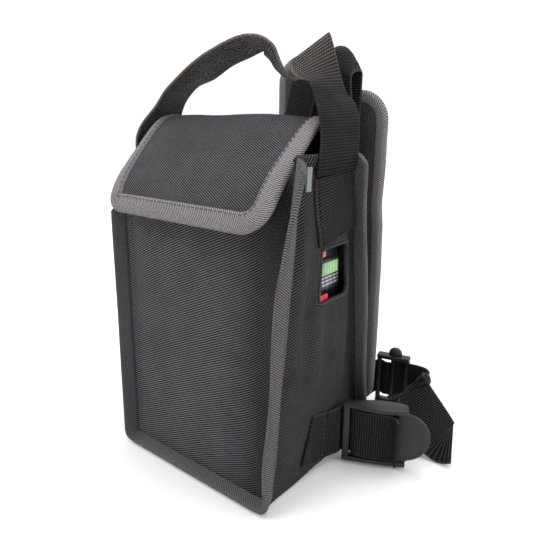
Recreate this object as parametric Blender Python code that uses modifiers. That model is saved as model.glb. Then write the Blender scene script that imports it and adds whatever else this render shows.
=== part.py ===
"""Carry bag with its rechargeable battery pack: fabric bag, hinged lid flap, carrying strap,
two padded shoulder straps with ladder-lock buckles, and the battery standing inside.

Metres, +Z up.  The origin is the centre of the base, the front faces -Y.
"""
import math

import bmesh
import bpy
from mathutils import Matrix, Vector

MM = 0.001
GAP = 0.3 * MM

# ---------------------------------------------------------------- driving dimensions
BAG_HEIGHT = 248 * MM
FABRIC = 3.0 * MM
TAPE = 4.0 * MM
HALF_WIDTH_BASE = 72.5 * MM
HALF_WIDTH_TOP = 85.0 * MM
FRONT_BASE = -59.5 * MM
FRONT_TOP = -43.5 * MM
BACK_BASE = 64.0 * MM
BACK_TOP = 19.0 * MM
FRONT_PANEL_TOP = 221 * MM
LEFT_CORNER_TOP = 216 * MM
FIN_ROOT = 1.2 * MM
FIN_X = 6.5 * MM
FIN_Y = 7.5 * MM
SEAM_TAPE = 10 * MM

WINDOW_Y = (-14 * MM, 22 * MM)
WINDOW_Z = (147 * MM, 186 * MM)
WINDOW_RADIUS = 7 * MM

LID_HALF_WIDTH = 78 * MM
LID_THICK = 3.0 * MM
HINGE = Vector((0, 23 * MM, 250 * MM))
LID_PROFILE = ((21, 253), (19, 262), (10, 269), (-3, 271), (-18, 264), (-38, 245), (-53, 229), (-62, 216),
               (-66, 204))

WEBBING = 46 * MM
WEBBING_THICK = 2.0 * MM

BATTERY_HALF_WIDTH = 65 * MM
BATTERY_Y = (-38 * MM, 14 * MM)
BATTERY_Z = (6 * MM, 200 * MM)
CASE_WALL = 2.5 * MM
CAP_HEIGHT = 6 * MM
CELL_COUNT = 6
CELL_GAP = 0.6 * MM
CELL_TOP = 160 * MM
SCREW_HEAD = 1.6 * MM
SCREEN_THICK = 0.8 * MM
LENS_THICK = 0.9 * MM
LENS_OVERLAP = 0.5 * MM
LAMP_HEIGHT = 4.4 * MM
LAMP_THICK = 1.2 * MM
GAUGE_Y = (-12 * MM, 22.3 * MM)
GAUGE_Z = (140 * MM, 188 * MM)
GAUGE_FRONT = 74.0 * MM

PAD_WIDTH = 54 * MM
PAD_THICK = 8 * MM
PAD_BOTTOM = 26 * MM
PAD_TAPE = 12 * MM

PAD_WEBBING = 28 * MM
WEBBING_INSET = 10 * MM
RIGHT_PAD = Vector((52 * MM, 80 * MM, 292 * MM))
LEFT_PAD = Vector((-17 * MM, 98 * MM, 322 * MM))
RIGHT_CREST = 320 * MM
LEFT_CREST = 327 * MM
RIGHT_ANCHOR_X = 42
LEFT_ANCHOR_X = -26
ANCHOR_Y = 28.5
ANCHOR_Z = 214

BUCKLE_PIVOT = Vector((86 * MM, 24 * MM, 3 * MM))
BUCKLE_TURN = math.radians(26)
BUCKLE_HEIGHT = 52 * MM
BUCKLE_BODY = 46 * MM
BUCKLE_LENGTH = 66 * MM
BUCKLE_THICK = 5 * MM
BUCKLE_RAIL = 3.6 * MM
BUCKLE_CUT = 10 * MM
BUCKLE_SLOTS = ((3.2 * MM, 19 * MM), (25 * MM, 40 * MM))

SLIDER_PLACE = Vector((63 * MM, 118 * MM, 6 * MM))
SLIDER_TURN = math.radians(14)
SLIDER_LENGTH = 30 * MM
SLIDER_HEIGHT = 50 * MM
SLIDER_KNOB = 6 * MM
SLIDER_RAIL = 4 * MM
SLIDER_SLOTS = ((4 * MM, 13 * MM), (17 * MM, 26 * MM))

# ---------------------------------------------------------------- scene and materials
for old in list(bpy.data.objects):
    bpy.data.objects.remove(old, do_unlink=True)


def new_collection(name):
    """Return a new collection linked to the scene."""
    collection = bpy.data.collections.new(name)
    bpy.context.scene.collection.children.link(collection)
    return collection


PARTS = new_collection("battery_carry_bag")
CUTTERS = new_collection("cutters")


def new_material(name, colour, roughness, metallic=0.0):
    """Return a plain Principled material."""
    material = bpy.data.materials.new(name)
    material.use_nodes = True
    shader = material.node_tree.nodes["Principled BSDF"]
    shader.inputs["Base Color"].default_value = (*colour, 1.0)
    shader.inputs["Roughness"].default_value = roughness
    shader.inputs["Metallic"].default_value = metallic
    return material


NYLON = new_material("black_nylon", (0.024, 0.024, 0.028), 0.72)
TAPE_GREY = new_material("grey_binding_tape", (0.17, 0.16, 0.165), 0.85)
STRAP_BLACK = new_material("black_webbing", (0.028, 0.025, 0.022), 0.8)
HOOK_LOOP = new_material("hook_and_loop", (0.10, 0.115, 0.105), 0.95)
FOAM = new_material("grey_foam", (0.12, 0.12, 0.12), 0.95)
BOARD = new_material("base_board", (0.05, 0.05, 0.055), 0.6)
CASE_PLASTIC = new_material("case_plastic", (0.03, 0.03, 0.032), 0.5)
BUCKLE_PLASTIC = new_material("buckle_plastic", (0.045, 0.045, 0.045), 0.45)
CELL_FOIL = new_material("cell_foil", (0.62, 0.63, 0.65), 0.35, 0.8)
CIRCUIT = new_material("circuit_board", (0.02, 0.16, 0.06), 0.55)
SCREEN = new_material("gauge_screen", (0.5, 0.78, 0.45), 0.4)
LENS = new_material("clear_lens", (0.75, 0.8, 0.78), 0.08)
LAMP_RED = new_material("red_lamp", (0.85, 0.08, 0.08), 0.3)
STEEL = new_material("screw_steel", (0.55, 0.55, 0.56), 0.35, 1.0)


def finish_object(obj, name, material, collection=PARTS):
    """Name an object, give it its material and move it to its collection."""
    obj.name = name
    obj.data.name = name
    if material:
        obj.data.materials.clear()
        obj.data.materials.append(material)
    for holder in list(obj.users_collection):
        holder.objects.unlink(obj)
    collection.objects.link(obj)
    return obj


def mesh_object(name, verts, faces, material, collection=PARTS):
    """Make a mesh object from points and faces."""
    mesh = bpy.data.meshes.new(name)
    mesh.from_pydata([tuple(v) for v in verts], [], faces)
    mesh.update()
    obj = bpy.data.objects.new(name, mesh)
    bpy.context.scene.collection.objects.link(obj)
    return finish_object(obj, name, material, collection)


def solidify(obj, thickness, offset):
    """Give an open sheet its thickness."""
    modifier = obj.modifiers.new("thickness", "SOLIDIFY")
    modifier.thickness = thickness
    modifier.offset = offset
    modifier.use_even_offset = True
    return obj


def set_origin(obj, point):
    """Put an object's origin on a point, leaving its shape where it is."""
    obj.data.transform(Matrix.Translation(-Vector(point)))
    obj.location = point


def grid_sheet(name, point_at, columns, rows, material):
    """Open sheet of quads; point_at(u, v) gives the point for u and v from 0 to 1."""
    verts = []
    for row in range(rows + 1):
        for column in range(columns + 1):
            verts.append(point_at(column / columns, row / rows))
    faces = []
    for row in range(rows):
        for column in range(columns):
            first = row * (columns + 1) + column
            faces.append((first, first + 1, first + columns + 2, first + columns + 1))
    return mesh_object(name, verts, faces, material)


def smooth_path(stations, steps):
    """Catmull-Rom curve through stations of any number of values, steps points a span."""
    points = []
    last = len(stations) - 1
    for index in range(last):
        before = stations[max(index - 1, 0)]
        start = stations[index]
        end = stations[index + 1]
        after = stations[min(index + 2, last)]
        for step in range(steps):
            t = step / steps
            point = []
            for a, b, c, d in zip(before, start, end, after):
                point.append(0.5 * (2 * b + (c - a) * t + (2 * a - 5 * b + 4 * c - d) * t * t
                                    + (3 * b - a - 3 * c + d) * t ** 3))
            points.append(point)
    points.append(list(stations[last]))
    return points


def ribbon(name, stations, width, thickness, material, steps=3, across=2, edge=False):
    """Flat band.  A station is (x, y, z, side_x, side_y, side_z) in millimetres; the side vector
    points across the band.  With edge, the stations lie on one edge of the band."""
    path = smooth_path(stations, steps)
    shift = 0.0 if edge else -0.5

    def point_at(u, v):
        row = path[round(v * (len(path) - 1))]
        side = Vector(row[3:6]).normalized()
        return Vector(row[0:3]) * MM + side * (u + shift) * width
    obj = grid_sheet(name, point_at, across, len(path) - 1, material)
    return solidify(obj, thickness, 0.0)


def box(name, low, high, material, bevel=0.0, collection=PARTS, segments=1):
    """Box between two corners, its edges rounded by bevel."""
    low, high = Vector(low), Vector(high)
    mesh = bpy.data.meshes.new(name)
    work = bmesh.new()
    bmesh.ops.create_cube(work, size=1.0)
    bmesh.ops.scale(work, vec=high - low, verts=work.verts)
    bmesh.ops.translate(work, vec=(low + high) / 2, verts=work.verts)
    work.to_mesh(mesh)
    work.free()
    obj = bpy.data.objects.new(name, mesh)
    bpy.context.scene.collection.objects.link(obj)
    finish_object(obj, name, material, collection)
    if bevel:
        rounding = obj.modifiers.new("rounding", "BEVEL")
        rounding.width = bevel
        rounding.segments = segments
    return obj


def cylinder(name, centre, axis, radius, depth, material, sides=20):
    """Closed cylinder about an axis."""
    mesh = bpy.data.meshes.new(name)
    work = bmesh.new()
    bmesh.ops.create_cone(work, cap_ends=True, segments=sides, radius1=radius, radius2=radius, depth=depth)
    turn = Vector((0, 0, 1)).rotation_difference(Vector(axis)).to_matrix().to_4x4()
    bmesh.ops.transform(work, matrix=Matrix.Translation(centre) @ turn, verts=work.verts)
    work.to_mesh(mesh)
    work.free()
    obj = bpy.data.objects.new(name, mesh)
    bpy.context.scene.collection.objects.link(obj)
    return finish_object(obj, name, material)


def rounded_plate(name, outline, depth, material, collection=PARTS):
    """Prism of a closed outline in the XY plane, depth along +Z from 0."""
    mesh = bpy.data.meshes.new(name)
    work = bmesh.new()
    verts = [work.verts.new((x, y, 0)) for x, y in outline]
    face = work.faces.new(verts)
    grown = bmesh.ops.extrude_face_region(work, geom=[face])
    raised = [item for item in grown["geom"] if isinstance(item, bmesh.types.BMVert)]
    bmesh.ops.translate(work, vec=(0, 0, depth), verts=raised)
    bmesh.ops.recalc_face_normals(work, faces=work.faces)
    work.to_mesh(mesh)
    work.free()
    obj = bpy.data.objects.new(name, mesh)
    bpy.context.scene.collection.objects.link(obj)
    return finish_object(obj, name, material, collection)


def arc(cx, cy, radius, start, end, steps):
    """Points of an arc, angles in degrees."""
    points = []
    for step in range(steps + 1):
        angle = math.radians(start + (end - start) * step / steps)
        points.append((cx + radius * math.cos(angle), cy + radius * math.sin(angle)))
    return points


def rounded_rectangle(x0, y0, x1, y1, radius, steps=3):
    """Outline of a rectangle with round corners, counter-clockwise."""
    return (arc(x1 - radius, y0 + radius, radius, -90, 0, steps)
            + arc(x1 - radius, y1 - radius, radius, 0, 90, steps)
            + arc(x0 + radius, y1 - radius, radius, 90, 180, steps)
            + arc(x0 + radius, y0 + radius, radius, 180, 270, steps))


def cut(obj, cutter):
    """Cut one object with another, which becomes a hidden guide."""
    cutter.hide_render = True
    cutter.display_type = "WIRE"
    boolean = obj.modifiers.new("cut", "BOOLEAN")
    boolean.operation = "DIFFERENCE"
    boolean.solver = "EXACT"
    boolean.object = cutter


# ---------------------------------------------------------------- shape of the bag
def half_width(z):
    """Half width of the bag's walls at a height."""
    return HALF_WIDTH_BASE + (HALF_WIDTH_TOP - HALF_WIDTH_BASE) * z / BAG_HEIGHT


def front_y(z):
    """Outer face of the front panel at a height."""
    return FRONT_BASE + (FRONT_TOP - FRONT_BASE) * z / BAG_HEIGHT


def back_y(z):
    """Outer face of the back panel at a height."""
    return BACK_BASE + (BACK_TOP - BACK_BASE) * z / BAG_HEIGHT


def bag_panels():
    """Front, back, side and base panels."""
    bottom = FABRIC + 1 * MM

    def front(u, v):
        z = bottom + (FRONT_PANEL_TOP - bottom) * v
        return ((2 * u - 1) * half_width(z), front_y(z), z)

    def back(u, v):
        z = bottom + (BAG_HEIGHT - bottom) * v
        return ((1 - 2 * u) * half_width(z), back_y(z), z)

    solidify(grid_sheet("front_panel", front, 4, 6, NYLON), FABRIC, -1.0)
    solidify(grid_sheet("back_panel", back, 4, 6, NYLON), FABRIC, -1.0)
    for side, name in ((-1, "left_side_panel"), (1, "right_side_panel")):
        def wall(u, v, side=side):
            along = u if side > 0 else 1 - u
            top = LEFT_CORNER_TOP if side < 0 and along == 0 else BAG_HEIGHT
            z = bottom + (top - bottom) * v
            near = front_y(z) + FABRIC + GAP
            far = back_y(z) - FABRIC - GAP
            return (side * half_width(z), near + (far - near) * along, z)
        panel = solidify(grid_sheet(name, wall, 4, 6, NYLON), FABRIC, -1.0)
        if side > 0:
            outline = rounded_rectangle(WINDOW_Y[0], WINDOW_Z[0], WINDOW_Y[1], WINDOW_Z[1], WINDOW_RADIUS)
            cutter = rounded_plate("window_cutter", outline, 30 * MM, None, CUTTERS)
            turn = Matrix(((0, 0, 1, 65 * MM), (1, 0, 0, 0), (0, 1, 0, 0), (0, 0, 0, 1)))
            cutter.data.transform(turn)
            cut(panel, cutter)
    edge = half_width(0)
    box("base_panel", (-edge, FRONT_BASE, 0), (edge, BACK_BASE, FABRIC), NYLON)


def bindings():
    """Binding tape standing proud of the seams round the front and the back panel."""
    heights = (BAG_HEIGHT, 200 * MM, 150 * MM, 100 * MM, 50 * MM, 14 * MM)
    for name, sign, wall in (("front_binding", -1, front_y), ("back_binding", 1, back_y)):
        left_top = LEFT_CORNER_TOP if sign < 0 else BAG_HEIGHT
        left = [corner_station(-1, sign, wall, z) for z in (left_top, *heights[1:])]
        left.append(foot_station(-0.99, sign, wall, 7, 0.75))
        left.append(foot_station(-0.90, sign, wall, 5, 0.2))
        right = [(-x, y, z, -dx, dy, dz) for x, y, z, dx, dy, dz in reversed(left)]
        right[-1] = corner_station(1, sign, wall, BAG_HEIGHT)
        middle = [foot_station(share, sign, wall, 5, 0) for share in (-0.45, 0, 0.45)]
        ribbon(name, left + middle + right, SEAM_TAPE, TAPE, TAPE_GREY, steps=1, across=1, edge=True)


def corner_station(side, sign, wall, z):
    """Edge point and outward direction of a vertical seam at a height."""
    root_x = side * (half_width(z) + FIN_ROOT)
    root_y = wall(z) + sign * (FIN_ROOT + 1.4 * MM)
    return (root_x / MM, root_y / MM, z / MM, side * FIN_X, sign * FIN_Y, 0)


def foot_station(share, sign, wall, z, turn):
    """Edge point and outward direction of the seam along the base, share of the half width."""
    side = -1 if share < 0 else 1
    x = share * (half_width(0) + FIN_ROOT)
    y = wall(0) + sign * (FIN_ROOT + 1.4 * MM)
    return (x / MM, y / MM, z, side * turn * FIN_X, sign * FIN_Y, -0.25 * FIN_Y)


def bag_insides():
    """Stiffening board in the base, foam behind the battery and the closure strips."""
    inner = half_width(0) - FABRIC - 1.5 * MM
    box("base_board", (-inner, FRONT_BASE + FABRIC + 2 * MM, FABRIC + GAP),
        (inner, BACK_BASE - FABRIC - 3 * MM, FABRIC + GAP + 2 * MM), BOARD)
    top = 196 * MM
    low = 8 * MM

    def foam(u, v):
        z = low + (top - low) * v
        return ((1 - 2 * u) * 60 * MM, back_y(z) - FABRIC - GAP, z)
    solidify(grid_sheet("back_foam", foam, 1, 4, FOAM), 4 * MM, -1.0)

    def loop(u, v):
        z = (203 + 14 * v) * MM
        return ((2 * u - 1) * 50 * MM, front_y(z) - GAP - 1.5 * MM, z)
    solidify(grid_sheet("front_loop_patch", loop, 2, 1, HOOK_LOOP), 1.5 * MM, -1.0)

    def tab(u, v):
        z = (228 + 15 * v) * MM
        return (half_width(z) + GAP + 1.5 * MM, (-36 + 5 * u) * MM, z)
    solidify(grid_sheet("side_loop_patch", tab, 1, 1, HOOK_LOOP), 1.5 * MM, -1.0)


# ---------------------------------------------------------------- lid
def lid_point(u, v, lift=0.0):
    """Point of the lid's outer face; u runs across, v from the hinge to the free edge."""
    path = smooth_path([(0, y, z) for y, z in LID_PROFILE], 2)
    place = v * (len(path) - 1)
    low = min(int(place), len(path) - 2)
    share = place - low
    y = path[low][1] + (path[low + 1][1] - path[low][1]) * share
    z = path[low][2] + (path[low + 1][2] - path[low][2]) * share
    return Vector(((2 * u - 1) * LID_HALF_WIDTH, y * MM, z * MM + lift))


def lid():
    """Lid flap, its binding tape and the hook strip under its free edge."""
    rows = 2 * (len(LID_PROFILE) - 1)
    tape = 9 * MM
    inset = tape / (2 * LID_HALF_WIDTH)
    last = 1 - 1.2 / rows

    def panel(u, v):
        return lid_point(inset + (1 - 2 * inset) * u, last * v)
    panel_obj = solidify(grid_sheet("lid_panel", panel, 4, rows, NYLON), LID_THICK, -1.0)

    verts = []
    faces = []
    clear = GAP / (2 * LID_HALF_WIDTH)
    inner_v = last + 0.02
    for row in range(rows + 1):
        v = inner_v * row / rows
        verts.append(lid_point(0, v))
        verts.append(lid_point(inset - clear, v))
    for column in range(1, 6):
        u = column / 6
        verts.append(lid_point(u, 1.0))
        verts.append(lid_point(u, inner_v))
    for row in range(rows, -1, -1):
        v = inner_v * row / rows
        verts.append(lid_point(1, v))
        verts.append(lid_point(1 - inset + clear, v))
    for index in range(0, len(verts) - 2, 2):
        faces.append((index, index + 1, index + 3, index + 2))
    low_left = 2 * rows
    low_right = low_left + 12
    verts[low_left] = lid_point(0.03, 0.985)
    verts[low_right] = lid_point(0.97, 0.985)
    binding = mesh_object("lid_binding", verts, faces, TAPE_GREY)
    solidify(binding, LID_THICK, -1.0)

    def strip(u, v):
        point = lid_point(0.18 + 0.64 * u, 0.80 + 0.08 * v)
        return point + Vector((0, 2.6 * MM, -3.2 * MM))
    hook = solidify(grid_sheet("lid_hook_patch", strip, 2, 1, HOOK_LOOP), 1.5 * MM, -1.0)
    for obj in (panel_obj, binding, hook):
        set_origin(obj, HINGE)


# ---------------------------------------------------------------- carrying strap
STRAP_SEAM_TOP = 236
STRAP_ROUTE = (
    (-87.5, -5, 238, 0, 1, 0), (-92, -5, 248, 0, 1, 0), (-96, -4, 259, -0.1, 1, 0.05),
    (-92, -1, 267, -0.2, 0.98, 0.05), (-82, 4, 281, -0.25, 0.96, 0.1), (-69, 7, 292, -0.2, 0.97, 0.1),
    (-53, 9, 300, -0.13, 0.99, 0), (-38, 11, 309, -0.07, 1, 0), (-21, 12, 315, -0.05, 1, -0.04),
    (-7, 13, 320, -0.09, 0.99, -0.06), (3, 13.5, 322, -0.33, 0.92, -0.12), (10, 14, 321, -0.58, 0.8, -0.12),
    (15, 15, 317, -0.72, 0.69, -0.05), (18, 17, 312, -0.7, 0.71, 0), (21, 19.5, 305, -0.67, 0.74, 0),
    (26, 24, 299, -0.58, 0.81, 0), (34, 30, 298, -0.4, 0.9, 0.1), (41, 31, 305, -0.2, 0.93, 0.25),
    (44.5, 27, 314, 0, 0.9, 0.42), (47.5, 20.5, 317, 0.08, 0.88, 0.47), (51.5, 17, 311, 0.12, 0.9, 0.42),
    (57.5, 15, 302, 0.04, 0.96, 0.26), (64, 15, 295, -0.1, 0.99, 0.07), (70, 13, 286, -0.1, 0.99, 0.05),
    (76.5, 10, 279, 0, 1, 0.05), (82, 6, 269, 0.03, 1, 0), (85.5, 2, 259, 0, 1, 0),
    (88.5, -3, 249, 0, 1, 0), (89, -5, 243, 0, 1, 0), (87.5, -5, 238, 0, 1, 0))


def carrying_strap():
    """Free arch of the carrying strap and its two ends sewn to the side panels."""
    ribbon("carry_strap", STRAP_ROUTE, WEBBING, WEBBING_THICK, STRAP_BLACK, steps=2)
    for side, name in ((-1, "carry_strap_end_left"), (1, "carry_strap_end_right")):
        stations = []
        for z, y in ((STRAP_SEAM_TOP, -5), (214, -2), (193, 3)):
            x = side * (half_width(z * MM) / MM + 1.0 + GAP / MM)
            stations.append((x, y, z, 0, side, 0))
        ribbon(name, stations, WEBBING, WEBBING_THICK, STRAP_BLACK, steps=1)


# ---------------------------------------------------------------- battery
def battery():
    """Battery: case, cap, cells, protection board, gauge, lamps, socket and screws."""
    x = BATTERY_HALF_WIDTH
    y0, y1 = BATTERY_Y
    z0, z1 = BATTERY_Z
    case = box("battery_case", (-x, y0, z0), (x, y1, z1 - CAP_HEIGHT - GAP), CASE_PLASTIC)
    hollow = box("case_hollow", (-x + CASE_WALL, y0 + CASE_WALL, z0 + CASE_WALL),
                 (x - CASE_WALL, y1 - CASE_WALL, z1 + CAP_HEIGHT), None, 0, CUTTERS)
    cut(case, hollow)
    cap = box("battery_cap", (-x, y0, z1 - CAP_HEIGHT), (x, y1, z1), CASE_PLASTIC, 2 * MM)
    socket_at = Vector((-30 * MM, (y0 + y1) / 2, z1 - 1 * MM))
    seat = cylinder("socket_seat", socket_at, (0, 0, 1), 8.3 * MM, 30 * MM, None)
    finish_object(seat, "socket_seat", None, CUTTERS)
    cut(cap, seat)
    socket = cylinder("power_socket", socket_at, (0, 0, 1), 8 * MM, 14 * MM, CASE_PLASTIC)
    bore = cylinder("socket_bore", socket_at + Vector((0, 0, 4 * MM)), (0, 0, 1), 5 * MM, 12 * MM, None)
    finish_object(bore, "socket_bore", None, CUTTERS)
    cut(socket, bore)

    inner_low = y0 + CASE_WALL + CELL_GAP
    inner_high = y1 - CASE_WALL - CELL_GAP
    pitch = (inner_high - inner_low) / CELL_COUNT
    for index in range(CELL_COUNT):
        low = inner_low + index * pitch
        box(f"cell_{index + 1}", (-x + 6 * MM, low, z0 + 4 * MM),
            (x - 6 * MM, low + pitch - CELL_GAP, z0 + CELL_TOP), CELL_FOIL, 1.5 * MM)
    board_z = z0 + CELL_TOP + 6 * MM
    box("protection_board", (-50 * MM, y0 + 8 * MM, board_z),
        (50 * MM, y1 - 8 * MM, board_z + 2 * MM), CIRCUIT)
    head_z = z1 + GAP + SCREW_HEAD / 2
    corners = [(side * (x - 8 * MM), y) for y in (y0 + 7 * MM, y1 - 7 * MM) for side in (-1, 1)]
    for index, (screw_x, screw_y) in enumerate(corners):
        cylinder(f"cap_screw_{index + 1}", (screw_x, screw_y, head_z), (0, 0, 1),
                 3 * MM, SCREW_HEAD, STEEL, 12)
    gauge()


def gauge():
    """Charge gauge on the battery's side, behind the bag's window."""
    y0, y1 = GAUGE_Y
    z0, z1 = GAUGE_Z
    x0 = BATTERY_HALF_WIDTH + GAP
    box("gauge_housing", (x0, y0, z0), (GAUGE_FRONT, y1, z1), CASE_PLASTIC, 1.5 * MM)
    face = GAUGE_FRONT + GAP
    screen_low = (y0 + 8 * MM, z0 + 10.5 * MM)
    screen_high = (y1 - 2 * MM, z1 - 13.5 * MM)
    box("gauge_screen", (face, *screen_low), (face + SCREEN_THICK, *screen_high), SCREEN)
    lens_x = face + SCREEN_THICK + GAP
    lens_low = [value - LENS_OVERLAP for value in screen_low]
    lens_high = [value + LENS_OVERLAP for value in screen_high]
    box("gauge_lens", (lens_x, *lens_low), (lens_x + LENS_THICK, *lens_high), LENS)
    lamps = (("gauge_lamp_upper", -4 * MM, 176.5 * MM, 8 * MM),
             ("gauge_lamp_lower", -3 * MM, 143.5 * MM, 11 * MM))
    for name, low_y, low_z, length in lamps:
        box(name, (face, low_y, low_z),
            (face + LAMP_THICK, low_y + length, low_z + LAMP_HEIGHT), LAMP_RED, 0.5 * MM)


# ---------------------------------------------------------------- shoulder straps
def pad_outline(width, height, steps=5):
    """Pad outline in its own plane: rounded top, nearly square bottom, origin at bottom centre."""
    half = width / 2
    top = half * 0.72
    low = 8 * MM
    return (arc(half - low, low, low, -90, 0, 2) + arc(half - top, height - top, top, 0, 90, steps)
            + arc(-half + top, height - top, top, 90, 180, steps)
            + arc(-half + low, low, low, 180, 270, 2))


def stand_up(obj, centre_x, y, z):
    """Turn a plate from the XY plane to stand facing -Y, its bottom centre at the given point."""
    turn = Matrix(((1, 0, 0, centre_x), (0, 0, 1, y), (0, 1, 0, z), (0, 0, 0, 1)))
    obj.data.transform(turn)
    bm_fix = bmesh.new()
    bm_fix.from_mesh(obj.data)
    bmesh.ops.recalc_face_normals(bm_fix, faces=bm_fix.faces)
    bm_fix.to_mesh(obj.data)
    bm_fix.free()


def shoulder_strap(side, place, crest_z, anchor_x):
    """One padded shoulder strap; place is the middle of the pad's top edge on its front face."""
    name = "right" if side > 0 else "left"
    centre_x, y, top = place
    height = top - PAD_BOTTOM
    inner_width = PAD_WIDTH - 2 * PAD_TAPE
    inner_height = height - 2 * PAD_TAPE
    pad = rounded_plate(f"{name}_pad", pad_outline(inner_width - 2 * GAP, inner_height), PAD_THICK, NYLON)
    stand_up(pad, centre_x, y, PAD_BOTTOM + PAD_TAPE)
    rim = rounded_plate(f"{name}_pad_binding", pad_outline(PAD_WIDTH, height), PAD_THICK - 2 * MM, TAPE_GREY)
    stand_up(rim, centre_x, y + MM, PAD_BOTTOM)
    hole = rounded_plate(f"{name}_pad_cutter", pad_outline(inner_width, inner_height + GAP), 2 * PAD_THICK,
                         None, CUTTERS)
    stand_up(hole, centre_x, y - PAD_THICK / 2, PAD_BOTTOM + PAD_TAPE - GAP / 2)
    cut(rim, hole)

    face = y / MM - GAP / MM - WEBBING_THICK / MM / 2
    crest = crest_z / MM
    webbing_x = centre_x - side * WEBBING_INSET
    pivot = Vector((webbing_x, (face - 6) * MM, crest_z))
    webbing = pad_webbing(name, webbing_x / MM, face, crest, top / MM)
    strap_loop(name, webbing_x / MM, face, crest, anchor_x)
    slider = strap_slider(side)
    foot_webbing = foot_of_strap(name, side, centre_x / MM, (y + PAD_THICK + WEBBING_THICK) / MM)
    for obj in (pad, rim, webbing, slider, foot_webbing):
        set_origin(obj, pivot)


def pad_webbing(name, x, face, crest, top):
    """Webbing sewn down the pad's front face from the crest of its loop."""
    stations = [(x, face + lean, z, 1, 0, 0)
                for lean, z in ((-5.5, crest), (-1, crest - 4), (0, (crest + top) / 2 - 4), (0, top - 12),
                                (0, top - 40), (0, 150), (0, PAD_BOTTOM / MM + 4))]
    return ribbon(f"{name}_pad_webbing", stations, PAD_WEBBING, WEBBING_THICK, STRAP_BLACK, steps=3)


def strap_loop(name, x, face, crest, anchor_x):
    """Webbing from the crest of the loop down to its seam on the bag's back panel."""
    hang = (face + ANCHOR_Y) / 2 + 9
    route = ((x, face - 6.5, crest), (x, face - 12, crest - 4), (x, face - 16, crest - 20),
             ((x * 2 + anchor_x) / 3, hang + 4, 262), ((x + 2 * anchor_x) / 3, ANCHOR_Y + 20, 243),
             (anchor_x, ANCHOR_Y + 4, ANCHOR_Z + 14), (anchor_x, ANCHOR_Y, ANCHOR_Z),
             (anchor_x, ANCHOR_Y + 3.6, ANCHOR_Z - 20))
    loop = [(*point, 1, 0, 0) for point in route]
    ribbon(f"{name}_strap_loop", loop, PAD_WEBBING, WEBBING_THICK, STRAP_BLACK, steps=3)


def foot_of_strap(name, side, x, back):
    """Webbing sewn across the back of the pad's foot, leading out to the slider."""
    end_x = side * (SLIDER_PLACE.x / MM - 2)
    end_y = SLIDER_PLACE.y / MM - 1.2
    bend_x = (x + side * 4 + end_x) / 2
    route = ((x - side * 14, back, 31, 0, 0, side), (x - side * 4, back + 1, 31, 0, 0, side),
             (bend_x, (back + end_y) / 2, 31, 0, 0, side), (end_x, end_y, 31, 0, 0, side))
    return ribbon(f"{name}_foot_webbing", route, PAD_WEBBING - 2 * MM, WEBBING_THICK, STRAP_BLACK, steps=3)


def strap_slider(side):
    """Plastic slider between a pad's foot and its adjuster webbing, with a round release knob."""
    name = "right" if side > 0 else "left"
    body = rounded_rectangle(0, 0, SLIDER_LENGTH, SLIDER_HEIGHT, 3 * MM, 2)
    knob = arc(SLIDER_LENGTH * 0.55, SLIDER_HEIGHT + 2 * MM, SLIDER_KNOB, 0, 180, 6)
    outline = body[:6] + knob + body[6:]
    slider = rounded_plate(f"{name}_strap_slider", outline, BUCKLE_THICK, BUCKLE_PLASTIC)
    slider.data.transform(Matrix.Translation((0, 0, -BUCKLE_THICK / 2)))
    matrix = buckle_matrix(SLIDER_PLACE, SLIDER_TURN, side)
    for index, (start, end) in enumerate(SLIDER_SLOTS):
        slot = box(f"{name}_slider_slot_{index + 1}", (start, SLIDER_RAIL, -BUCKLE_CUT),
                   (end, SLIDER_HEIGHT - SLIDER_RAIL, BUCKLE_CUT), None, 0, CUTTERS)
        place_mesh(slot, matrix)
        cut(slider, slot)
    place_mesh(slider, matrix)
    return slider


# ---------------------------------------------------------------- buckles and lower webbing
def buckle_matrix(pivot, turn, side):
    """Place a buckle lying in its local XY plane: X along it, Y up the pivot bar."""
    stand = Matrix(((1, 0, 0, 0), (0, 0, 1, 0), (0, 1, 0, 0), (0, 0, 0, 1)))
    mirror = Matrix.Scale(-1, 4, (1, 0, 0)) if side < 0 else Matrix.Identity(4)
    place = Matrix.Translation(pivot) @ Matrix.Rotation(turn, 4, "Z") @ stand
    return mirror @ place


def place_mesh(obj, matrix):
    """Move an object's mesh and keep its faces pointing out."""
    obj.data.transform(matrix)
    work = bmesh.new()
    work.from_mesh(obj.data)
    bmesh.ops.recalc_face_normals(work, faces=work.faces)
    work.to_mesh(obj.data)
    work.free()


def ladder_lock(name, pivot, turn, side):
    """Moulded ladder lock: frame with three bars and a rounded finger tab."""
    half = BUCKLE_THICK / 2
    tip = BUCKLE_HEIGHT / 2
    inset = 5 * MM
    outline = ([(-half, 0), (BUCKLE_BODY, 0)]
               + arc(BUCKLE_LENGTH - tip + inset, tip, tip - inset, -80, 80, 10)
               + [(BUCKLE_BODY, BUCKLE_HEIGHT), (-half, BUCKLE_HEIGHT)])
    lock = rounded_plate(name, outline, BUCKLE_THICK, BUCKLE_PLASTIC)
    lock.data.transform(Matrix.Translation((0, 0, -half)))
    matrix = buckle_matrix(pivot, turn, side)
    for index, (start, end) in enumerate(BUCKLE_SLOTS):
        slot = box(f"{name}_slot_{index + 1}", (start, BUCKLE_RAIL, -BUCKLE_CUT),
                   (end, BUCKLE_HEIGHT - BUCKLE_RAIL, BUCKLE_CUT), None, 0, CUTTERS)
        place_mesh(slot, matrix)
        cut(lock, slot)
    place_mesh(lock, matrix)
    set_origin(lock, Vector((side * pivot.x, pivot.y, pivot.z)))
    return lock


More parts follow.
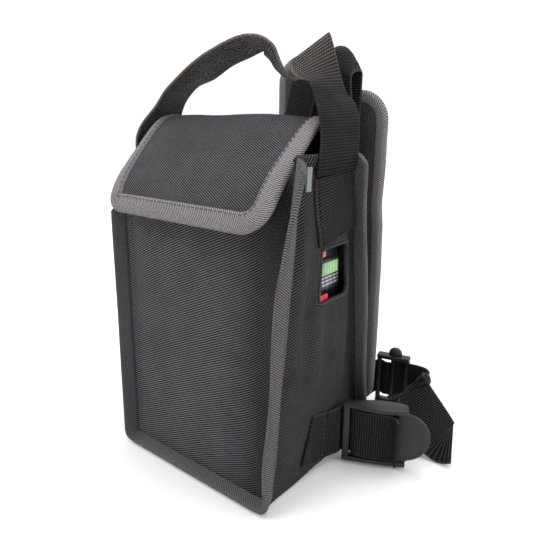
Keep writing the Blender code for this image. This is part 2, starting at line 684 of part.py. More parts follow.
def local_ribbon(name, stations, matrix, side_vector, width, material, steps=3):
    """Webbing whose stations (millimetres) lie in a buckle's own plane: along, out of plane."""
    route = []
    for along, out in stations:
        point = matrix @ Vector((along * MM, BUCKLE_HEIGHT / 2, out * MM))
        route.append((point.x / MM, point.y / MM, point.z / MM, *side_vector))
    return ribbon(name, route, width, WEBBING_THICK, material, steps=steps)


WRAP_ROUTE = ((44, 5.5), (34, 5.2), (29, 4.6), (22, 4.6), (17, 3.6), (15, 0), (17, -3.6), (22, -4.6),
              (30, -4.8), (42, -5.5))


def lower_webbing(side):
    """Sewn tab, ladder lock, adjuster wrap and adjuster webbing with its tail on one side."""
    name = "right" if side > 0 else "left"
    matrix = buckle_matrix(BUCKLE_PIVOT, BUCKLE_TURN, side)
    lock = ladder_lock(f"{name}_ladder_lock", BUCKLE_PIVOT, BUCKLE_TURN, side)
    bar_y = BUCKLE_PIVOT.y / MM
    bar_x = BUCKLE_PIVOT.x / MM
    z = 29.0
    wall = half_width(z * MM) / MM
    lean = side * (HALF_WIDTH_TOP - HALF_WIDTH_BASE) / BAG_HEIGHT
    tab = [(side * (wall + 1.5), y, z, lean, 0, 1) for y in (-26, -8, 8)]
    for angle in (205, 180, 145, 110, 75, 40, 5):
        x = bar_x + 5.8 * math.cos(math.radians(angle))
        y = bar_y + 5.8 * math.sin(math.radians(angle))
        tab.append((side * x, y, z, 0, 0, 1))
    ribbon(f"{name}_lower_tab", tab, 42 * MM, WEBBING_THICK, STRAP_BLACK, steps=2)

    wrap = local_ribbon(f"{name}_adjuster_wrap", WRAP_ROUTE, matrix, (0, 0, side), 42 * MM,
                        STRAP_BLACK, steps=2)
    set_origin(wrap, lock.location)


ADJUSTER_ROUTE = ((93.5, 126.5, 31), (103, 126, 31), (114, 116, 34), (117, 98, 35), (113, 80, 33),
                  (112, 66, 29), (116, 52, 29))
TAIL_ROUTE = ((128, 54, 29, 0, 0, 1), (129, 64, 33, 0, 0.1, 1), (127, 78, 42, 0, 0.3, 0.9),
              (129, 94, 40, 0, 0.5, 0.8), (135, 108, 24, 0.2, 0.7, 0.6), (141, 122, 12, 0.3, 0.85, 0.3))


def adjusters():
    """Webbing from each slider to its ladder lock, and the folded tail that comes back over it."""
    for side in (1, -1):
        name = "right" if side > 0 else "left"
        route = [(side * x, y, z, 0, 0, 1) for x, y, z in ADJUSTER_ROUTE]
        ribbon(f"{name}_adjuster_webbing", route, 38 * MM, WEBBING_THICK, STRAP_BLACK, steps=3)
        tail = [(side * x, y, z, side * dx, dy, dz) for x, y, z, dx, dy, dz in TAIL_ROUTE]
        ribbon(f"{name}_adjuster_tail", tail, 38 * MM, WEBBING_THICK, STRAP_BLACK, steps=3)


bag_panels()
bindings()
bag_insides()
lid()
carrying_strap()
battery()
shoulder_strap(1, RIGHT_PAD, RIGHT_CREST, RIGHT_ANCHOR_X)
shoulder_strap(-1, LEFT_PAD, LEFT_CREST, LEFT_ANCHOR_X)
for each_side in (1, -1):
    lower_webbing(each_side)
adjusters()
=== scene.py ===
"""Looks of the battery carry bag: soft fabric shell, lid flap, webbing, padded straps, buckles, battery."""
import math

import bmesh
import bpy
from mathutils import Matrix, Vector, noise


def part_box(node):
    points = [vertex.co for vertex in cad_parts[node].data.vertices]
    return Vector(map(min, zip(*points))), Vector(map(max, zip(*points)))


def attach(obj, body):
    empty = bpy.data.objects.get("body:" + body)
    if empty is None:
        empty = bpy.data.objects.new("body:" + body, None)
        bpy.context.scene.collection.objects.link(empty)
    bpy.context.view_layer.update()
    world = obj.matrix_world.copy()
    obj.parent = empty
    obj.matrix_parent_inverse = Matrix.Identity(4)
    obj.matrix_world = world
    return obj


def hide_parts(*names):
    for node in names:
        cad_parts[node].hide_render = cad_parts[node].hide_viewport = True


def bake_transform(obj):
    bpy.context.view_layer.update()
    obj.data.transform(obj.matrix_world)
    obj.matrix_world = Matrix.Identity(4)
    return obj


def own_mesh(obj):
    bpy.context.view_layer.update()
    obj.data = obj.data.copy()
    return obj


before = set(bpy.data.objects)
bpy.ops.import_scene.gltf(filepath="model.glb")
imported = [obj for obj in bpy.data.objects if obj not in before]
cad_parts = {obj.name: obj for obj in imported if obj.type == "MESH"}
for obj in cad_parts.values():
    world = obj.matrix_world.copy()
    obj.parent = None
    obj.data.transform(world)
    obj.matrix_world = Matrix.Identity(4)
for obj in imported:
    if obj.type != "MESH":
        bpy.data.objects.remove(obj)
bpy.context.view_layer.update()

MM = 0.001
SIDE_NAMES = {1: "right", -1: "left"}

# ------------------------------------------------------------------ camera
CAMERA_AT = Vector((0.2798, -0.3111, 0.2800))
CAMERA_TURN = 38.5
CAMERA_PITCH = 17.4
CAMERA_LENS = 35.74
CAMERA_SENSOR = 36
CAMERA_NEAR = 0.01


def add_object(name, data):
    """New object in the scene."""
    obj = bpy.data.objects.new(name, data)
    bpy.context.scene.collection.objects.link(obj)
    return obj


def make_camera():
    """Camera of the main view."""
    data = bpy.data.cameras.new("camera")
    data.lens = CAMERA_LENS
    data.sensor_width = CAMERA_SENSOR
    data.clip_start = CAMERA_NEAR
    camera = add_object("camera", data)
    camera.location = CAMERA_AT
    camera.rotation_euler = (math.radians(90 - CAMERA_PITCH), 0, math.radians(CAMERA_TURN))
    bpy.context.scene.camera = camera


make_camera()


# ------------------------------------------------------------------ material helpers
class Nodes:
    """Small helper for building one node tree."""

    def __init__(self, name, roughness=0.8, metallic=0.0, sheen=0.0, specular=0.5):
        self.material = bpy.data.materials.new(name)
        self.material.use_nodes = True
        self.tree = self.material.node_tree
        self.shader = self.tree.nodes["Principled BSDF"]
        self.fill(self.shader, {"Roughness": roughness, "Metallic": metallic, "Sheen Weight": sheen,
                                "Sheen Roughness": 0.5, "Specular IOR Level": specular})

    def fill(self, node, values):
        """Set a node's inputs to numbers or colours, or link sockets to them."""
        for key, value in values.items():
            if isinstance(value, (int, float)):
                node.inputs[key].default_value = value
            elif isinstance(value, tuple):
                node.inputs[key].default_value = (*value, 1.0)
            else:
                self.tree.links.new(value, node.inputs[key])

    def make(self, kind, values, output=0, **settings):
        """Output of a new node with its settings and inputs."""
        node = self.tree.nodes.new(kind)
        for key, value in settings.items():
            setattr(node, key, value)
        self.fill(node, values)
        return node.outputs[output]

    def math(self, operation, a, b=0.0):
        return self.make("ShaderNodeMath", {0: a, 1: b}, operation=operation)

    def times(self, a, b):
        return self.math("MULTIPLY", a, b)

    def place(self, kind="Object"):
        """Texture coordinates; UVs are metres along the cloth."""
        return self.make("ShaderNodeTexCoord", {}, kind)

    def axis(self, index, kind="UV"):
        """One of the texture coordinates."""
        return self.make("ShaderNodeSeparateXYZ", {0: self.place(kind)}, index)

    def noise(self, scale, detail=2.0, roughness=0.5):
        return self.make("ShaderNodeTexNoise", {"Scale": scale, "Detail": detail, "Roughness": roughness,
                                                "Vector": self.place()}, "Fac")

    def span(self, value, low, high, to_low=0.0, to_high=1.0):
        """A value's range mapped to another, clamped."""
        return self.make("ShaderNodeMapRange", {0: value, 1: low, 2: high, 3: to_low, 4: to_high})

    def mix(self, share, a, b):
        """Colour mixed from a to b."""
        return self.make("ShaderNodeMix", {0: share, 6: a, 7: b}, 2, data_type="RGBA")

    def ridge(self, value, period):
        """0 to 1 hump that repeats along a value every period metres."""
        phase = self.math("FRACT", self.math("DIVIDE", value, period))
        return self.math("SINE", self.times(phase, math.pi))

    def bars(self, value, count, start):
        """1 in the later part of each of a number of equal steps, else 0."""
        return self.math("GREATER_THAN", self.math("FRACT", self.times(value, count)), start)

    def between(self, value, low, high):
        """1 between two numbers, else 0."""
        return self.times(self.math("GREATER_THAN", value, low), self.math("LESS_THAN", value, high))

    def shaded(self, base, dark, painted_shade):
        """Colour darkened along X as painted shade; the painted shade is given as the X where it is darkest,
        where it starts, and by how much.
        """
        if painted_shade is None:
            return base
        darkest, start, most = painted_shade
        return self.mix(self.span(self.axis(0, "Object"), darkest, start, most, 0.0), base, dark)

    def finish(self, colour=None, rough=None, bump=None, glow=None):
        """The material with its colour, roughness, bump (height, relief, strength) and glow plugged in."""
        inputs = {"Base Color": colour, "Roughness": rough}
        if bump:
            normal = dict(zip(("Height", "Distance", "Strength"), bump))
            inputs["Normal"] = self.make("ShaderNodeBump", normal)
        if glow:
            inputs.update({"Emission Color": colour, "Emission Strength": glow})
        self.fill(self.shader, {key: value for key, value in inputs.items() if value is not None})
        return self.material


WEAR = 0.25


def twill_cloth(name, wale, low, high, dust, slant=27, sheen=0.01, relief=0.35 * MM, rough=(0.55, 0.8),
                painted_shade=None):
    """Twill-woven cloth: slanted wales made of short floats, their crowns painted lighter as painted
    highlight on the yarns; painted shade darkens it towards an X of its object.
    """
    kit = Nodes(name, roughness=0.75, sheen=sheen, specular=0.1)
    u, v = kit.axis(0), kit.axis(1)
    across, along = math.cos(math.radians(slant)), math.sin(math.radians(slant))
    rise = kit.math("SUBTRACT", kit.times(v, across), kit.times(u, along))
    run = kit.math("ADD", kit.times(u, across), kit.times(v, along))
    step = kit.times(kit.math("FLOOR", kit.math("DIVIDE", rise, wale)), 0.4 * wale)
    floats = kit.ridge(kit.math("ADD", run, step), 1.15 * wale)
    height = kit.times(kit.span(kit.ridge(rise, wale), 0.42, 0.88), kit.span(floats, 0.0, 1.0, 0.5, 1.0))
    blotch = kit.noise(38.0, 3.0, 0.55)
    fibre = kit.noise(900.0, 2.0, 0.6)
    # Real weave pattern; its lighter crowns, from the low colour to the high one, are painted highlight.
    base = kit.mix(kit.times(height, kit.span(fibre, 0.3, 0.7, 0.65, 1.25)), low, high)
    base = kit.mix(kit.span(blotch, 0.45, 0.8, 0.0, WEAR), base, dust)
    return kit.finish(kit.shaded(base, low, painted_shade), kit.span(blotch, 0.3, 0.7, *rough), (height, relief, 0.8))


def ribbed_webbing(name, width, low, high, rib=1.9 * MM, strand=2.2 * MM, painted_shade=None):
    """Heavy webbing: rows of short floats across, their crowns painted lighter as painted highlight, and a
    painted highlight along both selvedges; painted shade darkens it towards an X.
    """
    kit = Nodes(name, roughness=0.8, sheen=0.01, specular=0.08)
    u, v = kit.axis(0), kit.axis(1)
    count = kit.math("FLOOR", kit.math("DIVIDE", v, rib))
    half = kit.times(kit.math("FRACT", kit.times(count, 0.5)), strand)
    dots = kit.ridge(kit.math("ADD", u, half), strand)
    height = kit.times(kit.span(kit.ridge(v, rib), 0.3, 0.85), kit.span(dots, 0.2, 0.8, 0.1, 1.0))
    fibre = kit.noise(700.0, 2.0, 0.6)
    blotch = kit.noise(45.0, 2.0, 0.5)
    # Real rib pattern; its lighter crowns are painted highlight.
    base = kit.mix(kit.times(height, kit.span(fibre, 0.3, 0.7, 0.6, 1.2)), low, high)
    # Painted highlight: both selvedges are painted lighter, as edges that catch the light.
    edge = kit.span(kit.math("ABSOLUTE", u), (width / 2 - 1.6) * MM, (width / 2 - 0.5) * MM, 0.0, 0.55)
    base = kit.mix(edge, base, tuple(1.3 * value for value in high))
    base = kit.mix(kit.span(blotch, 0.5, 0.8, 0.0, 0.3), base, tuple(0.6 * value for value in high))
    return kit.finish(kit.shaded(base, low, painted_shade), kit.span(blotch, 0.3, 0.7, 0.62, 0.88),
                      (height, 0.5 * MM, 0.9))


WEBBINGS = {}
WEBBING_COLOURS = ((0.0008, 0.0007, 0.0007), (0.036, 0.032, 0.029))


def webbing(width):
    """Webbing material for a band of the given width in millimetres."""
    if width not in WEBBINGS:
        WEBBINGS[width] = ribbed_webbing(f"black_webbing_{width}", width, *WEBBING_COLOURS)
    return WEBBINGS[width]


def moulded_plastic(name, colour, dull, rough=0.42, grain=2200.0, relief=0.03 * MM):
    """Fine-textured moulded plastic with handling marks."""
    kit = Nodes(name, roughness=rough, specular=0.3)
    smear = kit.noise(55.0, 4.0, 0.6)
    return kit.finish(kit.mix(kit.span(smear, 0.42, 0.72), colour, dull),
                      kit.span(smear, 0.3, 0.75, rough - 0.06, rough + 0.16),
                      (kit.noise(grain, 3.0, 0.6), relief, 0.5))


def fuzzy(name, low, high, scale, relief):
    """Felt, foam or hook-and-loop pile."""
    kit = Nodes(name, roughness=0.95, sheen=0.5, specular=0.2)
    pile = kit.noise(scale, 4.0, 0.75)
    return kit.finish(kit.mix(kit.span(pile, 0.35, 0.68), low, high), bump=(pile, relief, 1.0))


def display(name):
    """Generic gauge display: a green charge band over pale and dark bars, read upwards in V."""
    kit = Nodes(name, roughness=0.3, specular=0.5)
    u, v = kit.axis(0), kit.axis(1)
    green = kit.mix(kit.span(u, 0.0, 1.0), (0.30, 0.62, 0.36), (0.52, 0.86, 0.34))
    green = kit.mix(kit.span(kit.noise(300.0), 0.3, 0.7, 0.0, 0.25), green, (0.75, 0.95, 0.62))
    green = kit.mix(kit.times(kit.bars(u, 7.0, 0.72), 0.45), green, (0.05, 0.20, 0.07))
    dash = kit.bars(kit.math("ADD", kit.times(u, 5.0), kit.times(v, 1.7)), 1.0, 0.2)
    pale = kit.mix(kit.times(kit.bars(v, 9.0, 0.55), dash), (0.035, 0.037, 0.042), (0.55, 0.55, 0.60))
    shown = kit.mix(kit.between(v, 0.14, 0.46), (0.012, 0.013, 0.015), pale)
    return kit.finish(kit.mix(kit.between(v, 0.50, 0.88), shown, green), glow=0.25)


def clear_cover(name):
    """Clear gauge cover with fine scratches."""
    kit = Nodes(name, specular=0.5)
    kit.fill(kit.shader, {"Transmission Weight": 1.0, "IOR": 1.2})
    return kit.finish(rough=kit.span(kit.noise(400.0, 3.0), 0.45, 0.8, 0.03, 0.18))


def lamp_plastic(name):
    """Red lamp body with a bright core."""
    kit = Nodes(name, roughness=0.28, specular=0.5)
    core = kit.span(kit.noise(240.0), 0.35, 0.7)
    return kit.finish(kit.mix(core, (0.72, 0.045, 0.05), (0.92, 0.11, 0.10)), glow=0.35)


def metal(name, roughness, metallic, grain, low, high, relief=0.0):
    """Metal with a grain of its own; with relief it is crinkled foil."""
    kit = Nodes(name, roughness=roughness, metallic=metallic)
    pattern = kit.noise(*grain)
    return kit.finish(kit.mix(pattern, low, high), bump=(pattern, relief, 0.6) if relief else None)


def circuit(name):
    """Green solder mask with copper runs."""
    kit = Nodes(name, roughness=0.45)
    cells = kit.make("ShaderNodeTexVoronoi", {"Scale": 320.0, "Vector": kit.place()}, "Distance")
    return kit.finish(kit.mix(kit.span(cells, 0.2, 0.5), (0.01, 0.09, 0.04), (0.03, 0.28, 0.11)))


def pale_floor(name):
    """Plain pale backdrop, painted darker and a little bluish near the object as painted shade that deepens
    its contact shadow.
    """
    kit = Nodes(name, roughness=0.9, specular=0.1)
    reach = kit.make("ShaderNodeVectorMath", {0: kit.place()}, "Value", operation="LENGTH")
    # Painted shade: darker, bluish floor colour near the object.
    near = kit.mix(kit.noise(3.0), (0.70, 0.70, 0.715), (0.73, 0.73, 0.745))
    return kit.finish(kit.mix(kit.span(reach, 0.2, 1.2), near, (0.97, 0.97, 0.97)))


NYLON_DARK, NYLON_DUST = (0.0004, 0.0004, 0.0006), (0.012, 0.0117, 0.0132)
NYLON = twill_cloth("black_nylon", 1.45 * MM, NYLON_DARK, (0.098, 0.096, 0.106), NYLON_DUST,
                    relief=0.45 * MM)
# Painted shade: the shell's cloth is painted darker towards its right corner and right side, darkest from X
# 66 mm, starting at X 25 mm.
SHELL_NYLON = twill_cloth("black_shell_nylon", 1.9 * MM, NYLON_DARK, (0.118, 0.116, 0.127), NYLON_DUST,
                          relief=0.45 * MM, painted_shade=(66 * MM, 25 * MM, 0.55))
TAPE_WALE, TAPE_SLANT, TAPE_RELIEF, TAPE_ROUGH = 1.4 * MM, 35, 0.3 * MM, (0.7, 0.9)
TAPE = twill_cloth("grey_binding_tape", TAPE_WALE, (0.04, 0.037, 0.039), (0.28, 0.26, 0.27),
                   (0.13, 0.125, 0.128), TAPE_SLANT, 0.06, TAPE_RELIEF, TAPE_ROUGH)
# Painted shade: the seam tape is painted darker on the fins at the left corners, darkest from X -74 mm,
# starting at X -60 mm.
SEAM_TAPE = twill_cloth("grey_seam_tape", TAPE_WALE, (0.022, 0.02, 0.022), (0.145, 0.134, 0.142),
                        (0.06, 0.056, 0.06), TAPE_SLANT, 0.03, TAPE_RELIEF, TAPE_ROUGH,
                        painted_shade=(-74 * MM, -60 * MM, 0.5))
THREAD_WALE = 0.6 * MM
THREAD = twill_cloth("grey_thread", THREAD_WALE, (0.05, 0.05, 0.05), (0.36, 0.35, 0.35), (0.2, 0.2, 0.2))
DARK_THREAD = twill_cloth("dark_thread", THREAD_WALE, (0.01, 0.01, 0.01), (0.07, 0.065, 0.06),
                          (0.03, 0.03, 0.03))
ARCH_WIDTH = 46
# Painted light and shade: the carrying strap's arch is a lighter, lit copy of the black webbing that its sewn
# ends use, with painted shade down its right leg, darkest from X 70 mm, starting at X 50 mm.
ARCH = ribbed_webbing("carry_webbing_painted_light", ARCH_WIDTH, (0.001, 0.0009, 0.0009), (0.115, 0.1, 0.092),
                      2.1 * MM, 2.0 * MM, painted_shade=(70 * MM, 50 * MM, 0.86))
BUCKLE = moulded_plastic("buckle_plastic", (0.010, 0.010, 0.010), (0.022, 0.021, 0.020), 0.36)
CASE = moulded_plastic("case_plastic", (0.012, 0.012, 0.013), (0.024, 0.024, 0.025), 0.5, 1400.0, 0.06 * MM)
BEZEL = moulded_plastic("bezel_plastic", (0.004, 0.0045, 0.0055), (0.009, 0.009, 0.011), 0.3)
PILE = fuzzy("hook_and_loop", (0.035, 0.045, 0.042), (0.22, 0.27, 0.25), 1300.0, 0.9 * MM)
FOAM = fuzzy("grey_foam", (0.07, 0.07, 0.07), (0.15, 0.15, 0.15), 700.0, 0.4 * MM)
BOARD = moulded_plastic("base_board", (0.04, 0.04, 0.044), (0.06, 0.06, 0.062), 0.6)


# ------------------------------------------------------------------ geometry helpers
def clamp(value, low=0.0, high=1.0):
    return min(max(value, low), high)


def bell(value, centre, width):
    """Smooth hump of height 1."""
    return math.exp(-((value - centre) / width) ** 2)


def running(steps):
    """Running total of some steps, from nought."""
    totals = [0.0]
    for step in steps:
        totals.append(totals[-1] + step)
    return totals


def arc(cx, cy, radius, start, turn=90, steps=6):
    """Points of an arc; angles in degrees."""
    angles = [math.radians(start + turn * step / steps) for step in range(steps + 1)]
    return [(cx + radius * math.cos(angle), cy + radius * math.sin(angle)) for angle in angles]


def mirrored(side, stations):
    """Stations of a band, turned over to the left when side is -1."""
    return [(side * x, y, z, side * dx, dy, dz) for x, y, z, dx, dy, dz in stations]


def link(mesh, name, material, body):
    """Object from a mesh, with a material, riding on a body."""
    obj = add_object(name, mesh)
    mesh.materials.append(material)
    for polygon in mesh.polygons:
        polygon.use_smooth = True
    if body:
        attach(obj, body)
    return obj


def face_out(bm):
    bmesh.ops.recalc_face_normals(bm, faces=bm.faces)


def to_mesh(bm, name):
    """New mesh from a bmesh, which is used up."""
    mesh = bpy.data.meshes.new(name)
    bm.to_mesh(mesh)
    bm.free()
    return mesh


def rework(mesh, change):
    """Change a mesh through a bmesh."""
    bm = bmesh.new()
    bm.from_mesh(mesh)
    change(bm)
    bm.to_mesh(mesh)
    bm.free()


def modified(mesh, kind, settings, operands=()):
    """Mesh after a modifier, which runs once for each operand mesh if there are any."""
    objects = [add_object("step", one) for one in (mesh, *operands)]
    for operand in objects[1:] or (None,):
        step = objects[0].modifiers.new("step", kind)
        for key, value in settings.items():
            setattr(step, key, value)
        if operand:
            step.object = operand
    depsgraph = bpy.context.evaluated_depsgraph_get()
    made = bpy.data.meshes.new_from_object(objects[0].evaluated_get(depsgraph),
                                           preserve_all_data_layers=True, depsgraph=depsgraph)
    for obj in objects:
        bpy.data.objects.remove(obj, do_unlink=True)
    return made


def thicken(mesh, thickness, offset):
    """Cloth of a thickness (millimetres) from a sheet, grown to one side."""
    return modified(mesh, "SOLIDIFY", {"thickness": thickness * MM, "offset": offset})


def combine(mesh, operation, others):
    """Boolean of a mesh with others."""
    return modified(mesh, "BOOLEAN", {"operation": operation, "solver": "EXACT"}, others)


def prism(points, shift):
    """Solid between an outline and its copy moved by a vector, as a bmesh."""
    bm = bmesh.new()
    face = bm.faces.new([bm.verts.new(point) for point in points])
    made = bmesh.ops.extrude_face_region(bm, geom=[face])
    moved = [item for item in made["geom"] if isinstance(item, bmesh.types.BMVert)]
    bmesh.ops.translate(bm, vec=shift, verts=moved)
    face_out(bm)
    return bm


def rounded_block(low, high, bevel, segments=3):
    """Block with rounded edges, as a bmesh."""
    low, high = Vector(low), Vector(high)
    bm = bmesh.new()
    bmesh.ops.create_cube(bm, size=1.0)
    bmesh.ops.scale(bm, vec=high - low, verts=bm.verts)
    bmesh.ops.translate(bm, vec=(low + high) / 2, verts=bm.verts)
    bmesh.ops.bevel(bm, geom=bm.edges, offset=bevel, segments=segments, affect="EDGES", profile=0.5)
    return bm


def soften(bm, sharp, offset, clamped=False):
    """Round the edges of a bmesh that turn by more than an angle."""
    rims = [edge for edge in bm.edges if len(edge.link_faces) == 2 and edge.calc_face_angle() > sharp]
    bmesh.ops.bevel(bm, geom=rims, offset=offset, segments=3, affect="EDGES", profile=0.5,
                    clamp_overlap=clamped)


def map_uv(mesh, uv_of):
    """UVs of every corner of a mesh from its vertex."""
    layer = mesh.uv_layers.get("UVMap") or mesh.uv_layers.new(name="UVMap")
    for loop in mesh.loops:
        layer.data[loop.index].uv = uv_of(mesh.vertices[loop.vertex_index])
    mesh.update()


def grid_mesh(name, point_at, columns, rows, uv_at=lambda u, v: (u, v)):
    """Mesh of quads over u and v from 0 to 1."""
    places = [(column / columns, row / rows) for row in range(rows + 1) for column in range(columns + 1)]
    starts = [row * (columns + 1) + column for row in range(rows) for column in range(columns)]
    faces = [(first, first + 1, first + columns + 2, first + columns + 1) for first in starts]
    mesh = bpy.data.meshes.new(name)
    mesh.from_pydata([tuple(point_at(u, v)) for u, v in places], [], faces)
    map_uv(mesh, lambda vertex: uv_at(*places[vertex.index]))
    return mesh


def loft_mesh(name, rings, across, along, caps=(), closed=False):
    """Closed skin over rings of points, with UVs from the distances across and along."""
    bm = bmesh.new()
    layer = bm.loops.layers.uv.new("UVMap")
    rings = [[bm.verts.new(point) for point in ring] for ring in rings]
    count = len(rings[0])
    for index in range(len(rings) if closed else len(rings) - 1):
        ring, following = rings[index], rings[(index + 1) % len(rings)]
        low, high = along[index], along[index + 1]
        for place in range(count):
            after = (place + 1) % count
            face = bm.faces.new((ring[place], ring[after], following[after], following[place]))
            left, right = across[place], across[place + 1]
            for loop, mark in zip(face.loops, ((left, low), (right, low), (right, high), (left, high))):
                loop[layer].uv = mark
    if not closed:
        for ring in (rings[0], rings[-1]):
            for loop, mark in zip(bm.faces.new(ring).loops, caps):
                loop[layer].uv = mark
    face_out(bm)
    return to_mesh(bm, name)


def catmull(stations, spacing):
    """Smooth curve through stations (tuples of numbers in millimetres), about spacing mm apart."""
    points = []
    last = len(stations) - 1
    for index in range(last):
        before, start = stations[max(index - 1, 0)], stations[index]
        end, after = stations[index + 1], stations[min(index + 2, last)]
        steps = max(2, round(math.dist(start[:3], end[:3]) / spacing))
        for step in range(steps):
            t = step / steps
            points.append([0.5 * (2 * b + (c - a) * t + (2 * a - 5 * b + 4 * c - d) * t * t
                                  + (3 * b - a - 3 * c + d) * t ** 3)
                           for a, b, c, d in zip(before, start, end, after)])
    points.append(list(stations[last]))
    return points


def catmull_loop(stations, spacing):
    """Smooth closed curve through stations."""
    return catmull(stations + stations[:1], spacing)[:-1]


def rows_from(points, closed=False, square=True):
    """Centre, side and normal of each row of a band, from points with their side vectors."""
    rows = []
    last = len(points) - 1
    for index, point in enumerate(points):
        ahead = 0 if closed and index == last else min(index + 1, last)
        behind = index - 1 if closed else max(index - 1, 0)
        tangent = (Vector(points[ahead][:3]) - Vector(points[behind][:3])).normalized()
        side = Vector(point[3:6])
        if square:
            side -= tangent * side.dot(tangent)
        side.normalize()
        rows.append((Vector(point[:3]) * MM, side, tangent.cross(side).normalized()))
    return rows


def flat_section(width, thickness, across=8, crown=0.0):
    """Closed outline of a flat band with rounded edges, in millimetres; crown swells its middle."""
    width, thickness, crown = width * MM, thickness * MM, crown * MM
    half = width / 2
    soft = min(thickness * 0.5, half * 0.5)
    steps = [-half + soft + (width - 2 * soft) * index / across for index in range(across + 1)]
    upper = [(a, thickness / 2 + crown * (1 - (a / half) ** 2)) for a in steps]
    lip, level = half - soft * 0.3, thickness * 0.36
    return ([(-half, 0.0), (-lip, level)] + upper + [(lip, level), (half, 0.0), (lip, -level)]
            + [(a, -b) for a, b in reversed(upper)] + [(-lip, -level)])


def sweep_mesh(name, rows, section, closed=False):
    """Closed band swept along rows.  UVs are metres across and along."""
    rings = [[centre + side * a + normal * b for a, b in section] for centre, side, normal in rows]
    line = [row[0] for row in rows + rows[:1]]
    along = running((after - before).length for before, after in zip(line, line[1:]))
    return loft_mesh(name, rings, [a for a, _ in section + section[:1]], along, section, closed)


def band(name, stations, width, thickness, material, body, slot, spacing=2.5, across=8, crown=0.0, wave=0.0,
         square=True):
    """Strap or tape through stations (x, y, z, side x, side y, side z) in millimetres."""
    points = catmull(stations, spacing)
    last = len(points) - 1
    for index, point in enumerate(points if wave else ()):
        sway = noise.noise(Vector((index * spacing * 0.045, len(name), 0.3))) * wave
        tangent = Vector(points[min(index + 1, last)][:3]) - Vector(points[max(index - 1, 0)][:3])
        turned = Vector(point[3:6]).normalized()
        point[0:3] = Vector(point[:3]) + tangent.normalized().cross(turned) * sway
    mesh = sweep_mesh(name, rows_from(points, False, square), flat_section(width, thickness, across, crown))
    return link(mesh, name, material, body)


def strap(name, stations, width, body, spacing=2.5, across=8, wave=0.0):
    """Band of plain black webbing."""
    return band(name, stations, width, WEBBING_THICK, webbing(width), body, "webbing", spacing, across, 0.0,
                wave)


def droop(obj, centre_x, crest, half, drop, reach):
    """Round the top of a webbing hoop: its edges hang lower than its middle (millimetres)."""
    for vertex in obj.data.vertices:
        fade = clamp((vertex.co.z / MM - crest + reach) / reach)
        off = abs(vertex.co.x / MM - centre_x) / half
        vertex.co.z -= drop * min(off, 1.2) ** 2.4 * fade * MM


def stitch_run(name, points, ups, body, length=2.6, gap=1.3, radius=0.28, material=None):
    """Row of sewn stitches along points (metres), each a short raised thread (millimetres)."""
    if isinstance(ups, Vector):
        ups = [ups] * len(points)
    bm = bmesh.new()
    steps = [after - before for before, after in zip(points, points[1:])]
    total = sum(step.length for step in steps)
    count = max(1, int(total / ((length + gap) * MM)))
    travel, place = 0.0, 0
    for index in range(count):
        target = (index + 0.5) * total / count
        while place < len(points) - 2 and travel + steps[place].length < target:
            travel += steps[place].length
            place += 1
        step, up = steps[place], ups[place].normalized()
        along = step.normalized()
        centre = points[place] + step * ((target - travel) / max(step.length, 1e-9))
        thread_piece(bm, centre + up * radius * MM * 0.4, along, along.cross(up).normalized(), up,
                     length * MM / 2, radius * MM)
    return link(to_mesh(bm, name), name, material or THREAD, body)


def thread_piece(bm, centre, along, across, up, half, radius):
    """One stitch: a bar with rounded ends, five-sided."""
    sides = 5
    turns = [2 * math.pi * index / sides for index in range(sides)]
    rings = [[bm.verts.new(centre + along * half * shift
                           + (across * math.cos(turn) + up * math.sin(turn)) * radius * scale)
              for turn in turns] for shift, scale in ((-1.0, 0.35), (-0.7, 0.95), (0.7, 0.95), (1.0, 0.35))]
    for ring, following in zip(rings, rings[1:]):
        for index in range(sides):
            after = (index + 1) % sides
            bm.faces.new((ring[index], following[index], following[after], ring[after]))
    bm.faces.new(list(reversed(rings[0])))
    bm.faces.new(rings[-1])


# ------------------------------------------------------------------ shape of the bag, from the frame
base_low, base_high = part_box("base_panel")
side_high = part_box("right_side_panel")[1]
front_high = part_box("front_panel")[1]
back_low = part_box("back_panel")[0]
FABRIC = base_high[2] - base_low[2]
TOP = side_high[2]
FRONT_TOP = front_high[2]
SHELL_LOW = 1.0 * MM
SHELL_RIM = TOP + 1 * MM
SHELL_THICK = 2.2
SHELL_ROWS = 64
SHELL_SHARP = math.radians(50)
LEFT_CORNER_TOP = 216 * MM
SHELL_PARTS = (("front", 30), ("right", 24), ("back", 30), ("left", 24))
SHELL_ENDS = {"front": ((-1, True), (1, True)), "right": ((1, True), (1, False)),
              "back": ((1, False), (-1, False)), "left": ((-1, False), (-1, True))}

# How each panel's cloth stands out, in millimetres: how far it bellies and up to what height, its ripple
# (how far, how fine along and up, which noise) and its creases (from, to, width, depth).
RELIEFS = {
    "front": (1.8, 235, (0.9, 0.022, 0.018, 1.7), (
        ((60, 225), (66, 20), 7, -4.0), ((50, 215), (52, 110), 6, 1.2), ((-66, 190), (-62, 40), 6, -1.6),
        ((-60, 30), (10, 14), 9, 1.3), ((-20, 205), (30, 120), 16, -0.9), ((45, 60), (66, 12), 8, 1.4))),
    "back": (1.5, 240, (0.9, 0.024, 0.02, 9.3), (
        ((-50, 200), (-30, 60), 9, -1.8), ((40, 190), (20, 50), 9, -1.6))),
    "side": (2.2, 250, (1.0, 0.03, 0.02, 5.1), (
        ((-26, 196), (-22, 60), 5, -3.4), ((-14, 150), (-12, 60), 6, 2.4), ((-2, 148), (6, 50), 5, -2.6),
        ((20, 146), (26, 60), 6, 2.4), ((34, 150), (38, 40), 5, -2.6), ((-40, 90), (-6, 62), 8, 1.4),
        ((-38, 230), (-30, 150), 4, 1.0))),
}


def half_width(z):
    """Half width of the walls at a height."""
    share = (z - base_low[2]) / (TOP - base_low[2])
    return base_high[0] + (side_high[0] - base_high[0]) * share


